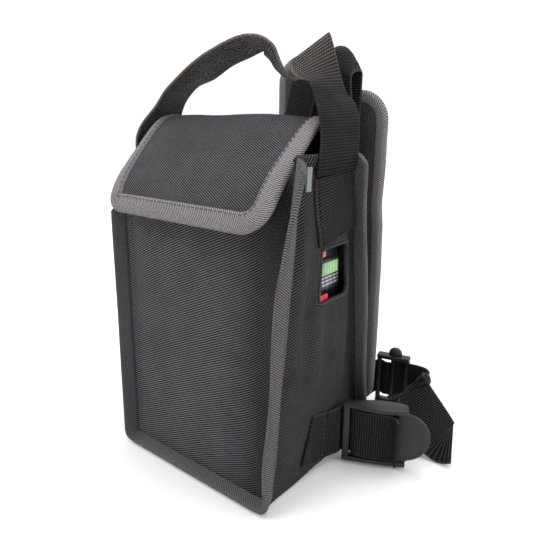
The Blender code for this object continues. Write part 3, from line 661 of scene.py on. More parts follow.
def wall_y(front, z):
    """Y of the leaning front or back wall at a height."""
    if front:
        return base_low[1] + (front_high[1] - FABRIC - base_low[1]) / FRONT_TOP * z
    return base_high[1] + (back_low[1] + FABRIC - base_high[1]) / TOP * z


def creases(x, z, folds):
    """Sum of soft folds, each along a line between two points of a panel (millimetres)."""
    total = 0.0
    for (ax, az), (bx, bz), width, depth in folds:
        length = math.hypot(bx - ax, bz - az)
        share = clamp(((x - ax) * (bx - ax) + (z - az) * (bz - az)) / length / length)
        off = math.hypot(x - (ax + (bx - ax) * share), z - (az + (bz - az) * share))
        total += depth * math.exp(-(off / width) ** 2) * math.sin(math.pi * clamp(share, 0.08, 0.92))
    return total


def relief(part, along, z):
    """How far a panel's cloth stands out at a distance along it and a height, all in millimetres."""
    belly, height, (ripple, fine, rise, seed), folds = RELIEFS[part]
    swell = bell(along, 0, 45) if part == "side" else math.cos(math.pi * along / 170)
    value = belly * swell * math.sin(math.pi * clamp(z / height)) + creases(along, z, folds)
    if part == "side":
        value -= 0.8 * bell(z, 62, 9)
    return value + ripple * noise.noise(Vector((along * fine, z * rise, seed)))


def corner(side, front, z):
    """Corner of the shell at a height, where the binding grips it."""
    y = wall_y(front, z) + (-1.2 if front else 1.2) * MM
    return Vector((side * (half_width(z) + 0.6 * MM), y, 0))


def shell_top(part, share):
    """Height of the mouth along a panel."""
    if part == "front":
        rise = share ** 14 * (SHELL_RIM - FRONT_TOP)
        return FRONT_TOP + rise - (FRONT_TOP - LEFT_CORNER_TOP) * (1 - share) ** 6
    if part == "left":
        fall = clamp((share - 0.62) / 0.38)
        return SHELL_RIM - (SHELL_RIM - LEFT_CORNER_TOP) * fall * fall * (3 - 2 * fall)
    return SHELL_RIM


def shell_point(part, share, rise):
    """Point of the outer shell; share runs along the panel, rise from the base to the hem."""
    z = SHELL_LOW + (shell_top(part, share) - SHELL_LOW) * rise
    start, end = (corner(side, front, z) for side, front in SHELL_ENDS[part])
    span = end - start
    out = Vector((span.y, -span.x, 0)).normalized()
    place = start + span * share
    near = min(share, 1 - share) * span.length / MM
    pinch = -3.4 * bell(near, 6.5, 5.0) * min(1.0, rise * 6)
    tuck = -1.5 * bell(z / MM, 0, 5)
    wide = part in RELIEFS
    stands = relief(part if wide else "side", (place.x if wide else place.y) / MM, z / MM)
    place += out * (stands * min(1.0, near / 12) + pinch + tuck) * MM
    return Vector((place.x, place.y, z))


def side_face_x(y, z):
    """X of the right side's outer cloth at a point."""
    share = (y - wall_y(True, z)) / (wall_y(False, z) - wall_y(True, z))
    return shell_point("right", share, (z - SHELL_LOW) / (SHELL_RIM - SHELL_LOW)).x


def bag_shell():
    """Front, sides and back as one lofted shell that sags between its seams."""
    marks = []
    run = 0.0
    for part, count in SHELL_PARTS:
        deep = wall_y(False, TOP / 2) - wall_y(True, TOP / 2)
        width = 2 * half_width(TOP / 2) if part in RELIEFS else deep
        marks += [(part, index / count, run + width * index / count) for index in range(count)]
        run += width
    columns = len(marks)
    marks.append((SHELL_PARTS[0][0], 0.0, run))

    def point_at(u, v):
        return shell_point(*marks[round(u * columns)][:2], v)

    mesh = grid_mesh("bag_shell", point_at, columns, SHELL_ROWS,
                     lambda u, v: (marks[round(u * columns)][2], v * TOP))
    rework(mesh, lambda bm: bmesh.ops.remove_doubles(bm, verts=bm.verts, dist=0.01 * MM))
    outline = [(side_high[0] - WINDOW_CUT_START, y, z) for y, z in window_outline()]
    cutter = to_mesh(prism(outline, (WINDOW_CUT_LENGTH, 0, 0)), "window_cutter")
    mesh = combine(thicken(mesh, SHELL_THICK, -1), "DIFFERENCE", [cutter])
    shell = link(mesh, "bag_shell", SHELL_NYLON, "bag")
    mesh.set_sharp_from_angle(angle=SHELL_SHARP)
    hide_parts("front_panel", "back_panel", "left_side_panel", "right_side_panel")


WINDOW_LOW = (-14 * MM, 147 * MM)
WINDOW_HIGH = (22 * MM, 186 * MM)
WINDOW_RADII = (3 * MM, 7 * MM)
WINDOW_CUT_START, WINDOW_CUT_LENGTH = 25 * MM, 40 * MM
WINDOW_EDGE = (3.4, 1.8)
WINDOW_STITCHES = (2.2, 1.1, 0.24)


def window_outline(grow=0.0, steps=6):
    """Rounded outline of the gauge window as (y, z) pairs, counter-clockwise seen from outside."""
    y0, z0 = (value - grow for value in WINDOW_LOW)
    y1, z1 = (value + grow for value in WINDOW_HIGH)
    tight, wide = (radius + grow for radius in WINDOW_RADII)
    return (arc(y1 - wide, z0 + wide, wide, -90, 90, steps) + arc(y1 - wide, z1 - wide, wide, 0, 90, steps)
            + arc(y0 + tight, z1 - tight, tight, 90, 90, steps)
            + arc(y0 + tight, z0 + tight, tight, 180, 90, steps))


def window_edge():
    """Turned and stitched edge of the window."""
    stations = [(side_face_x(y, z) / MM - 0.6, y / MM, z / MM, 1, 0, 0)
                for y, z in window_outline(0.6 * MM, 4)]
    rows = rows_from(catmull_loop(stations, 2.0), True)
    link(sweep_mesh("window_edge", rows, flat_section(*WINDOW_EDGE, 3), True), "window_edge", NYLON, "bag")
    run = window_outline(3.2 * MM, 8)
    points = []
    for (y0, z0), (y1, z1) in zip(run, run[1:] + run[:1]):
        for share in (0, 1 / 3, 2 / 3):
            y, z = y0 + (y1 - y0) * share, z0 + (z1 - z0) * share
            points.append(Vector((side_face_x(y, z) + 0.1 * MM, y, z)))
    stitch_run("window_stitches", points, Vector((1, 0, 0)), "bag", *WINDOW_STITCHES)


PATCH_THICK = 1.4


def front_patch():
    """Hook-and-loop patch that follows the front cloth under the lid."""
    low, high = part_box("front_loop_patch")

    def point_at(u, v):
        x = low[0] + (high[0] - low[0]) * u
        z = low[2] + (high[2] - low[2]) * v
        share = (x + half_width(z)) / (2 * half_width(z))
        cloth = shell_point("front", share, (z - SHELL_LOW) / (shell_top("front", share) - SHELL_LOW))
        return Vector((x, cloth.y - 0.1 * MM, z))

    mesh = thicken(grid_mesh("front_patch", point_at, 40, 8), PATCH_THICK, 1)
    patch = link(mesh, "front_patch", PILE, "bag")
    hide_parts("front_loop_patch")


def base_cover():
    """Flat fabric base with rounded edges, under the board."""
    inset, bevel = 1.5 * MM, 1.3 * MM
    low = (inset - base_high[0], base_low[1] + inset, 0)
    high = (base_high[0] - inset, base_high[1] - inset, FABRIC)
    mesh = to_mesh(rounded_block(low, high, bevel, 2), "base_cover")
    map_uv(mesh, lambda vertex: (vertex.co.x, vertex.co.y + vertex.co.z))
    cover = link(mesh, "base_cover", NYLON, "bag")
    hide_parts("base_panel")


# ------------------------------------------------------------------ binding tape on the seams
TAPE_WIDTH = 12.5
TAPE_THICK = 3.8
TAPE_REACH = TAPE_WIDTH / 2 - 2.4
SEAM_STEP = 3.0
SEAM_HEIGHTS = (249, 238, 215, 190, 160, 130, 100, 70, 45, 25, 14)
LEFT_FRONT_HEIGHTS = (206, 203, 198) + SEAM_HEIGHTS[3:]
TIP = 16
HEM = (8.5, 3.4)
HEM_INWARD = {"front": (0, 1), "right": (-1, 0), "back": (0, -1), "left": (1, 0)}


def seam_direction(side, front, z):
    """Which way a seam's tape stands at a height; each corner leans its own way."""
    if front and side > 0:
        lean = 108 - 46 * bell(z, 0, 30) - 26 * bell(z, 88, 38) - 72 * bell(z, 250, 60)
    elif front:
        lean = 47 + 5 * math.sin(z * 0.04)
    else:
        lean = -12 + 7 * math.sin(z * 0.05 + side)
    turn = math.radians(lean)
    return Vector((side * math.cos(turn), (-1 if front else 1) * math.sin(turn), 0))


def seam_station(side, front, z):
    """Middle of the tape on a vertical seam and its outward direction."""
    out = seam_direction(side, front, z)
    root = corner(side, front, z * MM) + Vector((side * 1.2 * MM, 0, 0))
    wobble = 0.9 * noise.noise(Vector((z * 0.03, side * 3.1, 7.7 if front else 2.2)))
    middle = root / MM + out * TAPE_REACH + Vector((side * 0.75, 0.65 if front else -0.65, 0)) * wobble
    return (middle.x, middle.y, z, out.x, out.y, 0)


def round_tip(tape, side, front, top):
    """Slope the top end of a seam's tape down towards its outer edge."""
    for vertex in tape.data.vertices:
        share = (vertex.co.z / MM - top + TIP) / TIP
        if share > 0 and vertex.co.x * side > 0:
            root = corner(side, front, vertex.co.z)
            off = math.hypot(vertex.co.x - root.x, vertex.co.y - root.y) / MM / TAPE_WIDTH
            vertex.co.z -= 10 * off ** 2 * share * MM


def seam_binding(name, front, replaced):
    """Tape round three sides of the front or the back panel, standing proud like a fin."""
    sign = -1 if front else 1
    left_heights = LEFT_FRONT_HEIGHTS if front else SEAM_HEIGHTS
    foot_y = wall_y(front, 0) / MM + sign * (1.2 + TAPE_REACH * 0.8)
    edge = half_width(0) / MM
    ends = ((-edge - 2.2, foot_y + sign * 0.6, 7.5, -0.5, sign, -0.12),
            (-edge + 5, foot_y, 4.6, -0.12, sign, -0.2))
    left = [seam_station(-1, front, z) for z in left_heights]
    middle = [(share * edge, foot_y, 4.4 + 0.4 * abs(share), 0, sign, -0.22)
              for share in (-0.6, -0.2, 0.2, 0.6)]
    right = [seam_station(1, front, z) for z in reversed(SEAM_HEIGHTS)]
    stations = left + list(ends) + middle + mirrored(-1, reversed(ends)) + right
    tape = band(name, stations, TAPE_WIDTH, TAPE_THICK, SEAM_TAPE, "bag", "binding_tape", SEAM_STEP, 6, 0.25)
    tops = {-1: left_heights[0], 1: SEAM_HEIGHTS[0]}
    for side, top in tops.items():
        round_tip(tape, side, front, top)
    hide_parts(replaced)
    rows = [row for row in rows_from(catmull(stations, SEAM_STEP))
            if row[0].z < ((tops[-1] if row[0].x < 0 else tops[1]) - 6) * MM]
    inset = -(TAPE_WIDTH / 2 - 2.6) * MM
    for face, label in ((1, "outer"), (-1, "inner")):
        line = [c + s * inset + n * face * (TAPE_THICK / 2 + 0.15) * MM for c, s, n in rows]
        stitch_run(f"{name}_stitches_{label}", line, [n * face for _, _, n in rows], "bag")


def top_hem():
    """Bound hem along the mouth: low along the front, level along the sides and the back."""
    stations = []
    for part, count in SHELL_PARTS:
        for index in range(0, count + 1, 3):
            point = shell_point(part, clamp(index / count, 0.03, 0.97), 1.0) / MM
            x, y = (value + 1.1 * inward for value, inward in zip(point, HEM_INWARD[part]))
            stations.append((x, y, point.z - 3.0, 0, 0, 1))
    rows = rows_from(catmull_loop(stations, 3.0), True)
    link(sweep_mesh("mouth_hem", rows, flat_section(*HEM, 4), True), "mouth_hem", SHELL_NYLON, "bag")


# ------------------------------------------------------------------ lid
LID_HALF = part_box("lid_binding")[1][0] / MM
LID_PATH = ((22, 250.5), (20.5, 258), (15, 265.5), (5, 270), (-6, 270.8), (-18, 265), (-36, 248),
            (-50, 233.5), (-59, 222), (-64.5, 211), (-66.5, 202.5))
LID_CORNERS = (13.5, 23.0)
LID_CLOTH = 2.6
LID_COLUMNS, LID_ROWS = 48, 60
LID_INSET = 5
LID_FOLDS = (((-40, 30), (20, 70), 18, -1.0), ((30, 40), (58, 95), 14, 1.1),
             ((-60, 60), (-30, 110), 12, 0.9))
LID_TAPE = 14.0
# Section of the tape folded over the lid's edge: distance from the edge and height over the cloth.
LID_TAPE_SECTION = ((14.0, 0.5), (13.2, 1.5), (8.4, 1.9), (2.6, 1.9), (0.8, 1.2), (0.0, -0.4), (0.5, -2.2),
                    (2.4, -3.3), (8.4, -3.5), (13.2, -3.3), (14.0, -2.4))
LID_TAPE_FRONT = 4
LID_STITCHES = (2.8, 1.3, 0.3)
HINGE_Y, HINGE_Z = 22.6, 250.2
HINGE_ROLL = (6.5, 4.2)

LID_LINE = [(y, z) for _, y, z in catmull([(0, y, z) for y, z in LID_PATH], 2.0)]
LID_RUNS = running(math.dist(before, after) for before, after in zip(LID_LINE, LID_LINE[1:]))
LID_LENGTH = LID_RUNS[-1]


def lid_frame(run):
    """Point and upward normal of the lid's middle line after running a distance from the hinge."""
    run = clamp(run, 0.0, LID_LENGTH)
    index = 0
    while index < len(LID_RUNS) - 2 and LID_RUNS[index + 1] < run:
        index += 1
    share = (run - LID_RUNS[index]) / (LID_RUNS[index + 1] - LID_RUNS[index])
    (y, z), (ahead_y, ahead_z) = LID_LINE[index:index + 2]
    tangent = Vector((0, ahead_y - y, ahead_z - z)).normalized()
    point = Vector((0, y + (ahead_y - y) * share, z + (ahead_z - z) * share))
    return point, Vector((0, tangent.z, -tangent.y))


def lid_point(x, run, lift=0.0):
    """Point of the lid's outer cloth (millimetres)."""
    point, normal = lid_frame(run)
    share = x / LID_HALF
    crown = 2.6 * (1 - share ** 2) - 2.0 * abs(share) ** 5
    crown *= math.sin(math.pi * clamp(run / LID_LENGTH, 0.06, 0.94)) ** 0.6
    crown += creases(x, run, LID_FOLDS) + 0.8 * noise.noise(Vector((x * 0.02, run * 0.03, 3.3)))
    point += normal * (crown + lift)
    return Vector((x, point.y, point.z))


def lid_outline(inset):
    """Lid's three free edges as (x, run), moved inward; the same number of points at any inset."""
    half, end = LID_HALF - inset, LID_LENGTH - inset
    halves = []
    for side, corner_radius in zip((-1, 1), LID_CORNERS):
        radius = max(corner_radius - inset, 0.6)
        line = []
        for share in (index / 30 for index in range(30)):
            slim = 0.5 * (1 - share) ** 0.7 if side < 0 else 0.62 * (1 - share) ** 2
            line.append((side * (half + inset * slim), 4 + (end - radius - 4) * share))
        bend = arc(half - radius, end - radius, radius, 0, 90, 12)
        halves.append(line + [(side * x, run) for x, run in bend])
    start, finish = (line[-1][0] for line in halves)
    middle = [(start + (finish - start) * index / 36, end) for index in range(1, 36)]
    return halves[0] + middle + halves[1][::-1]


def lid_panel():
    """Crowned flap with rounded front corners."""
    end = LID_LENGTH - LID_INSET

    def point_at(u, v):
        run, share = end * math.sin(v * math.pi / 2), 2 * u - 1
        radius = LID_CORNERS[0 if share < 0 else 1] - LID_INSET
        over = clamp(run - (end - radius), 0.0, radius)
        half = LID_HALF - LID_INSET - radius + math.sqrt(max(radius ** 2 - over ** 2, 0.0))
        return lid_point(share * half, run) * MM

    def uv_at(u, v):
        return ((u - 0.5) * 2 * LID_HALF * MM, math.sin(v * math.pi / 2) * LID_LENGTH * MM)

    mesh = thicken(grid_mesh("lid_flap", point_at, LID_COLUMNS, LID_ROWS, uv_at), LID_CLOTH, 1)
    rework(mesh, face_out)
    panel = link(mesh, "lid_flap", NYLON, "lid")
    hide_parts("lid_panel")


def lid_binding():
    """Grey tape folded over the lid's three free edges, with its stitching."""
    lines = [[lid_point(x, run, lift + 0.3 * noise.noise(Vector((index * 0.17, inset, 2.0)))) * MM
              for index, (x, run) in enumerate(lid_outline(inset))] for inset, lift in LID_TAPE_SECTION]
    front = lines[LID_TAPE_FRONT]
    along = running((after - before).length for before, after in zip(front, front[1:]))
    across = running(math.dist(here, after) * MM for here, after in
                     zip(LID_TAPE_SECTION, LID_TAPE_SECTION[1:] + LID_TAPE_SECTION[:1]))
    mesh = loft_mesh("lid_tape", list(zip(*lines)), across, along)
    tape = link(mesh, "lid_tape", TAPE, "lid")
    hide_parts("lid_binding")
    seam = lid_outline(LID_TAPE - 2.0)
    stitch_run("lid_stitches", [lid_point(x, run, 1.9) * MM for x, run in seam],
               [lid_frame(run)[1] for _, run in seam], "lid", *LID_STITCHES)


def hinge_fold():
    """Rolled cloth along the lid's hinge line, which closes the gap behind the open lid."""
    stations = [(x * (LID_HALF - 6), HINGE_Y, HINGE_Z, 0, 1, 0) for x in (-1, 0, 1)]
    band("hinge_fold", stations, *HINGE_ROLL, SHELL_NYLON, "bag", "nylon", 8.0, 4)


# ------------------------------------------------------------------ carrying strap
WEBBING_THICK = 2.0
STRAP_END_WIDTH, STRAP_END_THICK = 45, 2.2
END_STITCHES = (2.6, 1.2, 0.3, DARK_THREAD)
STRAP_ROUTE = (
    (-87.5, -5, 238, 0, 1, 0), (-88.5, -5, 247, 0, 1, 0), (-88.5, -4, 257, -0.03, 1, 0.02),
    (-86.8, -1, 267, -0.12, 0.98, 0.05), (-80.5, 4, 280, -0.25, 0.96, 0.1), (-69, 7, 292, -0.2, 0.97, 0.1),
    (-53, 9, 300, -0.13, 0.99, 0), (-38, 11, 309, -0.07, 1, 0), (-21, 12, 315, -0.05, 1, -0.04),
    (-7, 13, 320, -0.09, 0.99, -0.06), (3, 13.5, 322, -0.33, 0.92, -0.12), (10, 14, 321, -0.58, 0.8, -0.12),
    (15, 15, 317, -0.72, 0.69, -0.05), (18, 17, 312, -0.7, 0.71, 0), (21, 19.5, 305, -0.67, 0.74, 0),
    (26, 24, 299, -0.58, 0.81, 0), (34, 30, 298, -0.4, 0.9, 0.1), (41, 31, 305, -0.2, 0.93, 0.25),
    (44.5, 27, 314, 0, 0.9, 0.42), (47.5, 20.5, 317, 0.08, 0.88, 0.47), (51.5, 17, 311, 0.12, 0.9, 0.42),
    (57.5, 15, 302, 0.04, 0.96, 0.26), (64, 15, 295, -0.1, 0.99, 0.07), (70, 13, 286, -0.1, 0.99, 0.05),
    (76.5, 10, 279, 0, 1, 0.05), (82, 6, 269, 0.03, 1, 0), (85.5, 2, 259, 0, 1, 0),
    (88.5, -3, 249, 0, 1, 0), (89, -5, 243, 0, 1, 0), (87.5, -5, 237, 0, 1, 0))


def carrying_strap():
    """Arch of heavy webbing, twisted and folded near its right end."""
    arch = band("carry_webbing", STRAP_ROUTE, ARCH_WIDTH, WEBBING_THICK, ARCH, "bag", "webbing", 2.0, 12,
                wave=0.7, square=False)
    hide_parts("carry_strap")
    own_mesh(arch)
    for side, name, node in ((-1, "strap_end_left", "carry_strap_end_left"),
                             (1, "strap_end_right", "carry_strap_end_right")):
        stations = [(side * (side_face_x(y * MM, min(z, 246) * MM) / MM + 1.1), y, z, 0, side, -0.12)
                    for z, y in ((237, -5), (226, -4), (214, -2), (203, 1), (193, 3))]
        end = band(name, stations, STRAP_END_WIDTH, STRAP_END_THICK, webbing(STRAP_END_WIDTH), "bag",
                   "webbing", across=10)
        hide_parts(node)
        rows = rows_from(catmull(stations, 2.5))
        lines = [[(row, shift) for row in rows] for shift in (-19, 19)]
        lines += [[(row, step * 3.8 - 19) for step in range(11)] for row in (rows[-2], rows[3], rows[9])]
        out = Vector((side, 0, 0))
        for label, line in zip("abcde", lines):
            points = [c + s * shift * MM + out * 1.25 * MM for (c, s, _), shift in line]
            stitch_run(f"{name}_stitches_{label}", points, out, "bag", *END_STITCHES)


# ------------------------------------------------------------------ shoulder straps
PAD_TAPE = (10.5, 5.2)
PAD_TAPE_INSET = 6.8
PAD_FACE_INSET = 7
PAD_FOOT = 6
PAD_PUFF = 4.2
PAD_ROWS, PAD_ACROSS = 60, 14
PAD_WEBBING_WIDTH = 27
HOOP_HALF, HOOP_DROP, HOOP_REACH = 14, 12, 22


def waist(z, pinch_z):
    """Narrowing of a pad at the height where it is pinched."""
    return 1 - 0.09 * bell(z, pinch_z, 11)


def pad_rim(low, high, inset, pinch_z):
    """Outline of a pad in X and Z (millimetres), starting at its foot, counter-clockwise."""
    centre = (low[0] + high[0]) / 2 / MM
    half = (high[0] - low[0]) / 2 / MM - inset
    crown, foot = half * 0.92, 9.0 - inset * 0.5
    bottom, top = low[2] / MM + inset + foot, high[2] / MM - inset - crown
    edge = [(top - bottom) * step / 14 for step in range(1, 14)]
    points = (arc(half - foot, bottom, foot, -90) + [(half, bottom + rise) for rise in edge]
              + arc(half - crown, top, crown, 0) + arc(crown - half, top, crown, 90)
              + [(-half, top - fall) for fall in edge] + arc(foot - half, bottom, foot, 180))
    return [(centre + x * waist(z, pinch_z), z) for x, z in points]


def shoulder_strap(side, pinch_z):
    """Padded strap: bound edge and crowned dark face."""
    name = SIDE_NAMES[side]
    low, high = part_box(f"{name}_pad_binding")
    middle_y = (low[1] + high[1]) / 2 / MM

    def bent_y(z):
        bend = 1.6 * math.sin((z - low[2] / MM) * 0.021)
        return middle_y + bend + 0.8 * noise.noise(Vector((z * 0.03, side, 4.0)))

    rim = pad_rim(low, high, PAD_TAPE_INSET, pinch_z)
    stations = []
    for index, (x, z) in enumerate(rim):
        before, after = rim[index - 1], rim[(index + 1) % len(rim)]
        turn = Vector((after[0] - before[0], 0, after[1] - before[1])).normalized()
        stations.append((x, bent_y(z), z, turn.z, 0, -turn.x))
    rows = rows_from(catmull_loop(stations, 4.0), True)
    mesh = sweep_mesh(f"{name}_pad_tape", rows, flat_section(*PAD_TAPE, 6, 0.8), True)
    tape = link(mesh, f"{name}_pad_tape", TAPE, f"{name}_strap")
    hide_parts(f"{name}_pad_binding")
    pad_face(name, low, high, bent_y, pinch_z)


def pad_face(name, low, high, bent_y, pinch_z):
    """Stuffed face of a pad, swollen between its edge and the webbing sewn down its middle."""
    centre = (low[0] + high[0]) / 2 / MM
    half = (high[0] - low[0]) / 2 / MM - PAD_FACE_INSET
    crown = half * 0.92
    bottom, top = low[2] / MM + PAD_FACE_INSET, high[2] / MM - PAD_FACE_INSET
    rings = []
    for share in (row / PAD_ROWS for row in range(PAD_ROWS + 1)):
        z = bottom + (top - bottom) * (0.5 - 0.5 * math.cos(math.pi * share))
        wide = half
        for radius, past in ((crown, z - top + crown), (PAD_FOOT, bottom + PAD_FOOT - z)):
            if past > 0:
                wide = half - radius + math.sqrt(max(radius ** 2 - past ** 2, 0.0))
        wide = max(wide, 0.5) * waist(z, pinch_z)
        taper = min(1.0, 8 * share + 0.05) * min(1.0, 8 * (1 - share) + 0.05)
        ring = []
        for face in (-1, 1):
            for t in (face * (1 - 2 * step / PAD_ACROSS) for step in range(PAD_ACROSS)):
                puff = (1 - abs(t) ** 2.6) ** 0.5 * PAD_PUFF
                if face < 0:
                    puff -= 1.3 * bell(t * wide, 0, 9)
                ring.append(Vector((centre + t * wide, bent_y(z) + face * puff * taper, z)) * MM)
        rings.append(ring)
    mesh = loft_mesh(f"{name}_pad_cushion", rings, [0.0] * (2 * PAD_ACROSS + 1), [0.0] * len(rings))
    map_uv(mesh, lambda vertex: (vertex.co.x, vertex.co.z))
    cushion = link(mesh, f"{name}_pad_cushion", NYLON, f"{name}_strap")
    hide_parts(f"{name}_pad")


def strap_webbing(side, anchor):
    """Webbing from the back panel up over the pad's top and down its face."""
    name = SIDE_NAMES[side]
    low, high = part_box(f"{name}_pad_binding")
    web_low, web_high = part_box(f"{name}_pad_webbing")
    x = (web_low[0] + web_high[0]) / 2 / MM + 3.5 * (1 - side)
    face, bottom, top = low[1] / MM - 2.3, low[2] / MM, high[2] / MM
    crest = web_high[2] / MM + (0.4 if side > 0 else -5.6)
    ax, ay, az = anchor
    tip, slant, level = (1, 0, -0.1), (1, 0, -0.2 * side), (1, 0, 0)
    down = [(x, y, z, *across) for y, z, across in (
        (face - 5.5, crest, tip), (face - 0.8, crest - 4, tip), (face, (crest + top) / 2 - 4, slant),
        (face - 0.5, top - 12, level), (face - 0.6, top - 40, level), (face - 0.4, 200, level),
        (face, 150, level), (face, 90, level), (face + 0.6, bottom + 2, level),
        (face + 3.4, bottom - 3, level))]
    sewn = strap(f"{name}_sewn_webbing", down, PAD_WEBBING_WIDTH, f"{name}_strap")
    droop(sewn, x - 3, crest, HOOP_HALF, HOOP_DROP, HOOP_REACH)
    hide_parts(f"{name}_pad_webbing")
    rows = rows_from(catmull(down[4:-2], 3.0))
    out = Vector((0, -1, 0))
    for label, shift in (("a", -11), ("b", 11)):
        line = [c + s * shift * MM + out * 1.15 * MM for c, s, _ in rows]
        stitch_run(f"{name}_webbing_stitches_{label}", line, out, f"{name}_strap")
    over = ((x, face - 5.7, crest, *tip), (x, face - 11, crest - 3.5, *tip), (x, face - 15, crest - 14, *tip),
            (x, face - 16, crest - 24, *slant), ((x * 2 + ax) / 3, (face + ay) / 2 + 13, 262, *level),
            ((x + 2 * ax) / 3, ay + 20, 243, *level), (ax, ay + 4, 228, *level), (ax, ay, az, *level),
            (ax, ay + 3.6, az - 20, *level))
    hoop = strap(f"{name}_top_webbing", over, PAD_WEBBING_WIDTH, "bag")
    droop(hoop, x - 3, crest, HOOP_HALF, HOOP_DROP, HOOP_REACH)
    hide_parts(f"{name}_strap_loop")


# ------------------------------------------------------------------ buckles
PLASTIC_SHARP = math.radians(40)
PIVOT = Vector((86 * MM, 24 * MM, 3 * MM))
LOCK_TURN = math.radians(26)
LOCK_HEIGHT = 52 * MM
LOCK_BODY = 46 * MM
LOCK_LENGTH = 66 * MM
LOCK_RAIL = 3.6 * MM
LOCK_DEEP = 4.3 * MM
SLIDER_PLACE = Vector((63 * MM, 118 * MM, 6 * MM))
SLIDER_TURN = math.radians(14)
# Blocks of the slider (low corner, high corner, bevel), in millimetres.
SLIDER_BLOCKS = (((0, 46, -4.5), (30, 50, 4.5), 1.1), ((0, 0, -3.5), (30, 4, 3.5), 1.1),
                 ((0, 2, -2.3), (4, 48, 2.3), 1.0), ((13, 2, -2.3), (17, 48, 2.3), 1.0),
                 ((26, 2, -2.3), (30, 48, 2.3), 1.0))
KNOB_RADIUS = 6.2 * MM
KNOB_PLACE = (16.5 * MM, 52 * MM, 0)


def standing(pivot, turn, side):
    """Matrix from a fitting's own plane (X along, Y up, Z out) to its place."""
    stand = Matrix(((1, 0, 0, 0), (0, 0, 1, 0), (0, 1, 0, 0), (0, 0, 0, 1)))
    mirror = Matrix.Scale(-1, 4, (1, 0, 0)) if side < 0 else Matrix.Identity(4)
    return mirror @ Matrix.Translation(pivot) @ Matrix.Rotation(turn, 4, "Z") @ stand


def plate(outline, low, high, bevel):
    """Flat plate of an outline with rounded edges, as a bmesh."""
    bm = prism([(x, y, low) for x, y in outline], (0, 0, high - low))
    soften(bm, 1.0, bevel)
    return bm


def fuse(name, pieces, matrix, body, node):
    """Union of moulded pieces placed by a matrix, standing for a CAD node."""
    first, *others = (to_mesh(bm, name) for bm in pieces)
    mesh = combine(first, "UNION", others)
    mesh.transform(matrix)
    rework(mesh, face_out)
    made = link(mesh, name, BUCKLE, body)
    mesh.set_sharp_from_angle(angle=PLASTIC_SHARP)
    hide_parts(node)


def lock_rail(low, swell):
    """Top or bottom rail of the lock, widest two thirds of the way along."""
    side = []
    for share in (step / 12 for step in range(13)):
        half = LOCK_DEEP * (0.75 + (swell - 0.75) * math.sin(math.pi * min(share * 0.8, 1.0)) ** 1.5)
        side.append((share * (LOCK_BODY + 4.5 * MM) - 2.5 * MM, -half))
    bm = plate(side + [(x, -y) for x, y in side[::-1]], low, low + LOCK_RAIL, 1.0 * MM)
    for vert in bm.verts:
        vert.co = Vector((vert.co.x, vert.co.z, vert.co.y))
    face_out(bm)
    return bm


def ladder_lock(side):
    """Ladder lock: deep top and bottom rails, two bars, and a rounded finger tab."""
    name = SIDE_NAMES[side]
    tip, inset, lap = LOCK_HEIGHT / 2, 5 * MM, LOCK_RAIL * 0.6
    root = ((LOCK_BODY - 6 * MM, lap), (LOCK_BODY, lap))
    tab = [*root, *arc(LOCK_LENGTH - tip + inset, tip, tip - inset, -78, 156, 14),
           *((x, LOCK_HEIGHT - y) for x, y in reversed(root))]
    pieces = [plate(tab, -1.6 * MM, 2.2 * MM, 0.9 * MM), lock_rail(0, 1.0),
              lock_rail(LOCK_HEIGHT - LOCK_RAIL, 1.9)]
    for start, end, low, high in ((-2.5, 3.2, -2.4, 2.4), (19, 25, -1.4, 3.0)):
        pieces.append(rounded_block((start * MM, LOCK_RAIL * 0.5, low * MM),
                                    (end * MM, LOCK_HEIGHT - LOCK_RAIL * 0.5, high * MM), 1.2 * MM))
    fuse(f"{name}_lock", pieces, standing(PIVOT, LOCK_TURN, side), f"{name}_buckle", f"{name}_ladder_lock")


def strap_slider(side):
    """Slider at the foot of a shoulder strap, with a round knob on its top rail."""
    name = SIDE_NAMES[side]
    pieces = [rounded_block(Vector(low) * MM, Vector(high) * MM, bevel * MM)
              for low, high, bevel in SLIDER_BLOCKS]
    knob = bmesh.new()
    bmesh.ops.create_uvsphere(knob, u_segments=24, v_segments=14, radius=KNOB_RADIUS)
    bmesh.ops.scale(knob, vec=(1, 0.95, 0.62), verts=knob.verts)
    bmesh.ops.translate(knob, vec=KNOB_PLACE, verts=knob.verts)
    fuse(f"{name}_slider", pieces + [knob], standing(SLIDER_PLACE, SLIDER_TURN, side), f"{name}_strap",
         f"{name}_strap_slider")


# ------------------------------------------------------------------ webbing low on the bag
TAB_WIDTH, WRAP_WIDTH, ADJUSTER_WIDTH, TAIL_WIDTH, FOOT_WIDTH = 42, 41, 38, 36, 34
TAB_Z = 29.0
TAB_SLANT = 0.28
TAB_LEAN = 0.05
BAR_REACH = 5.6
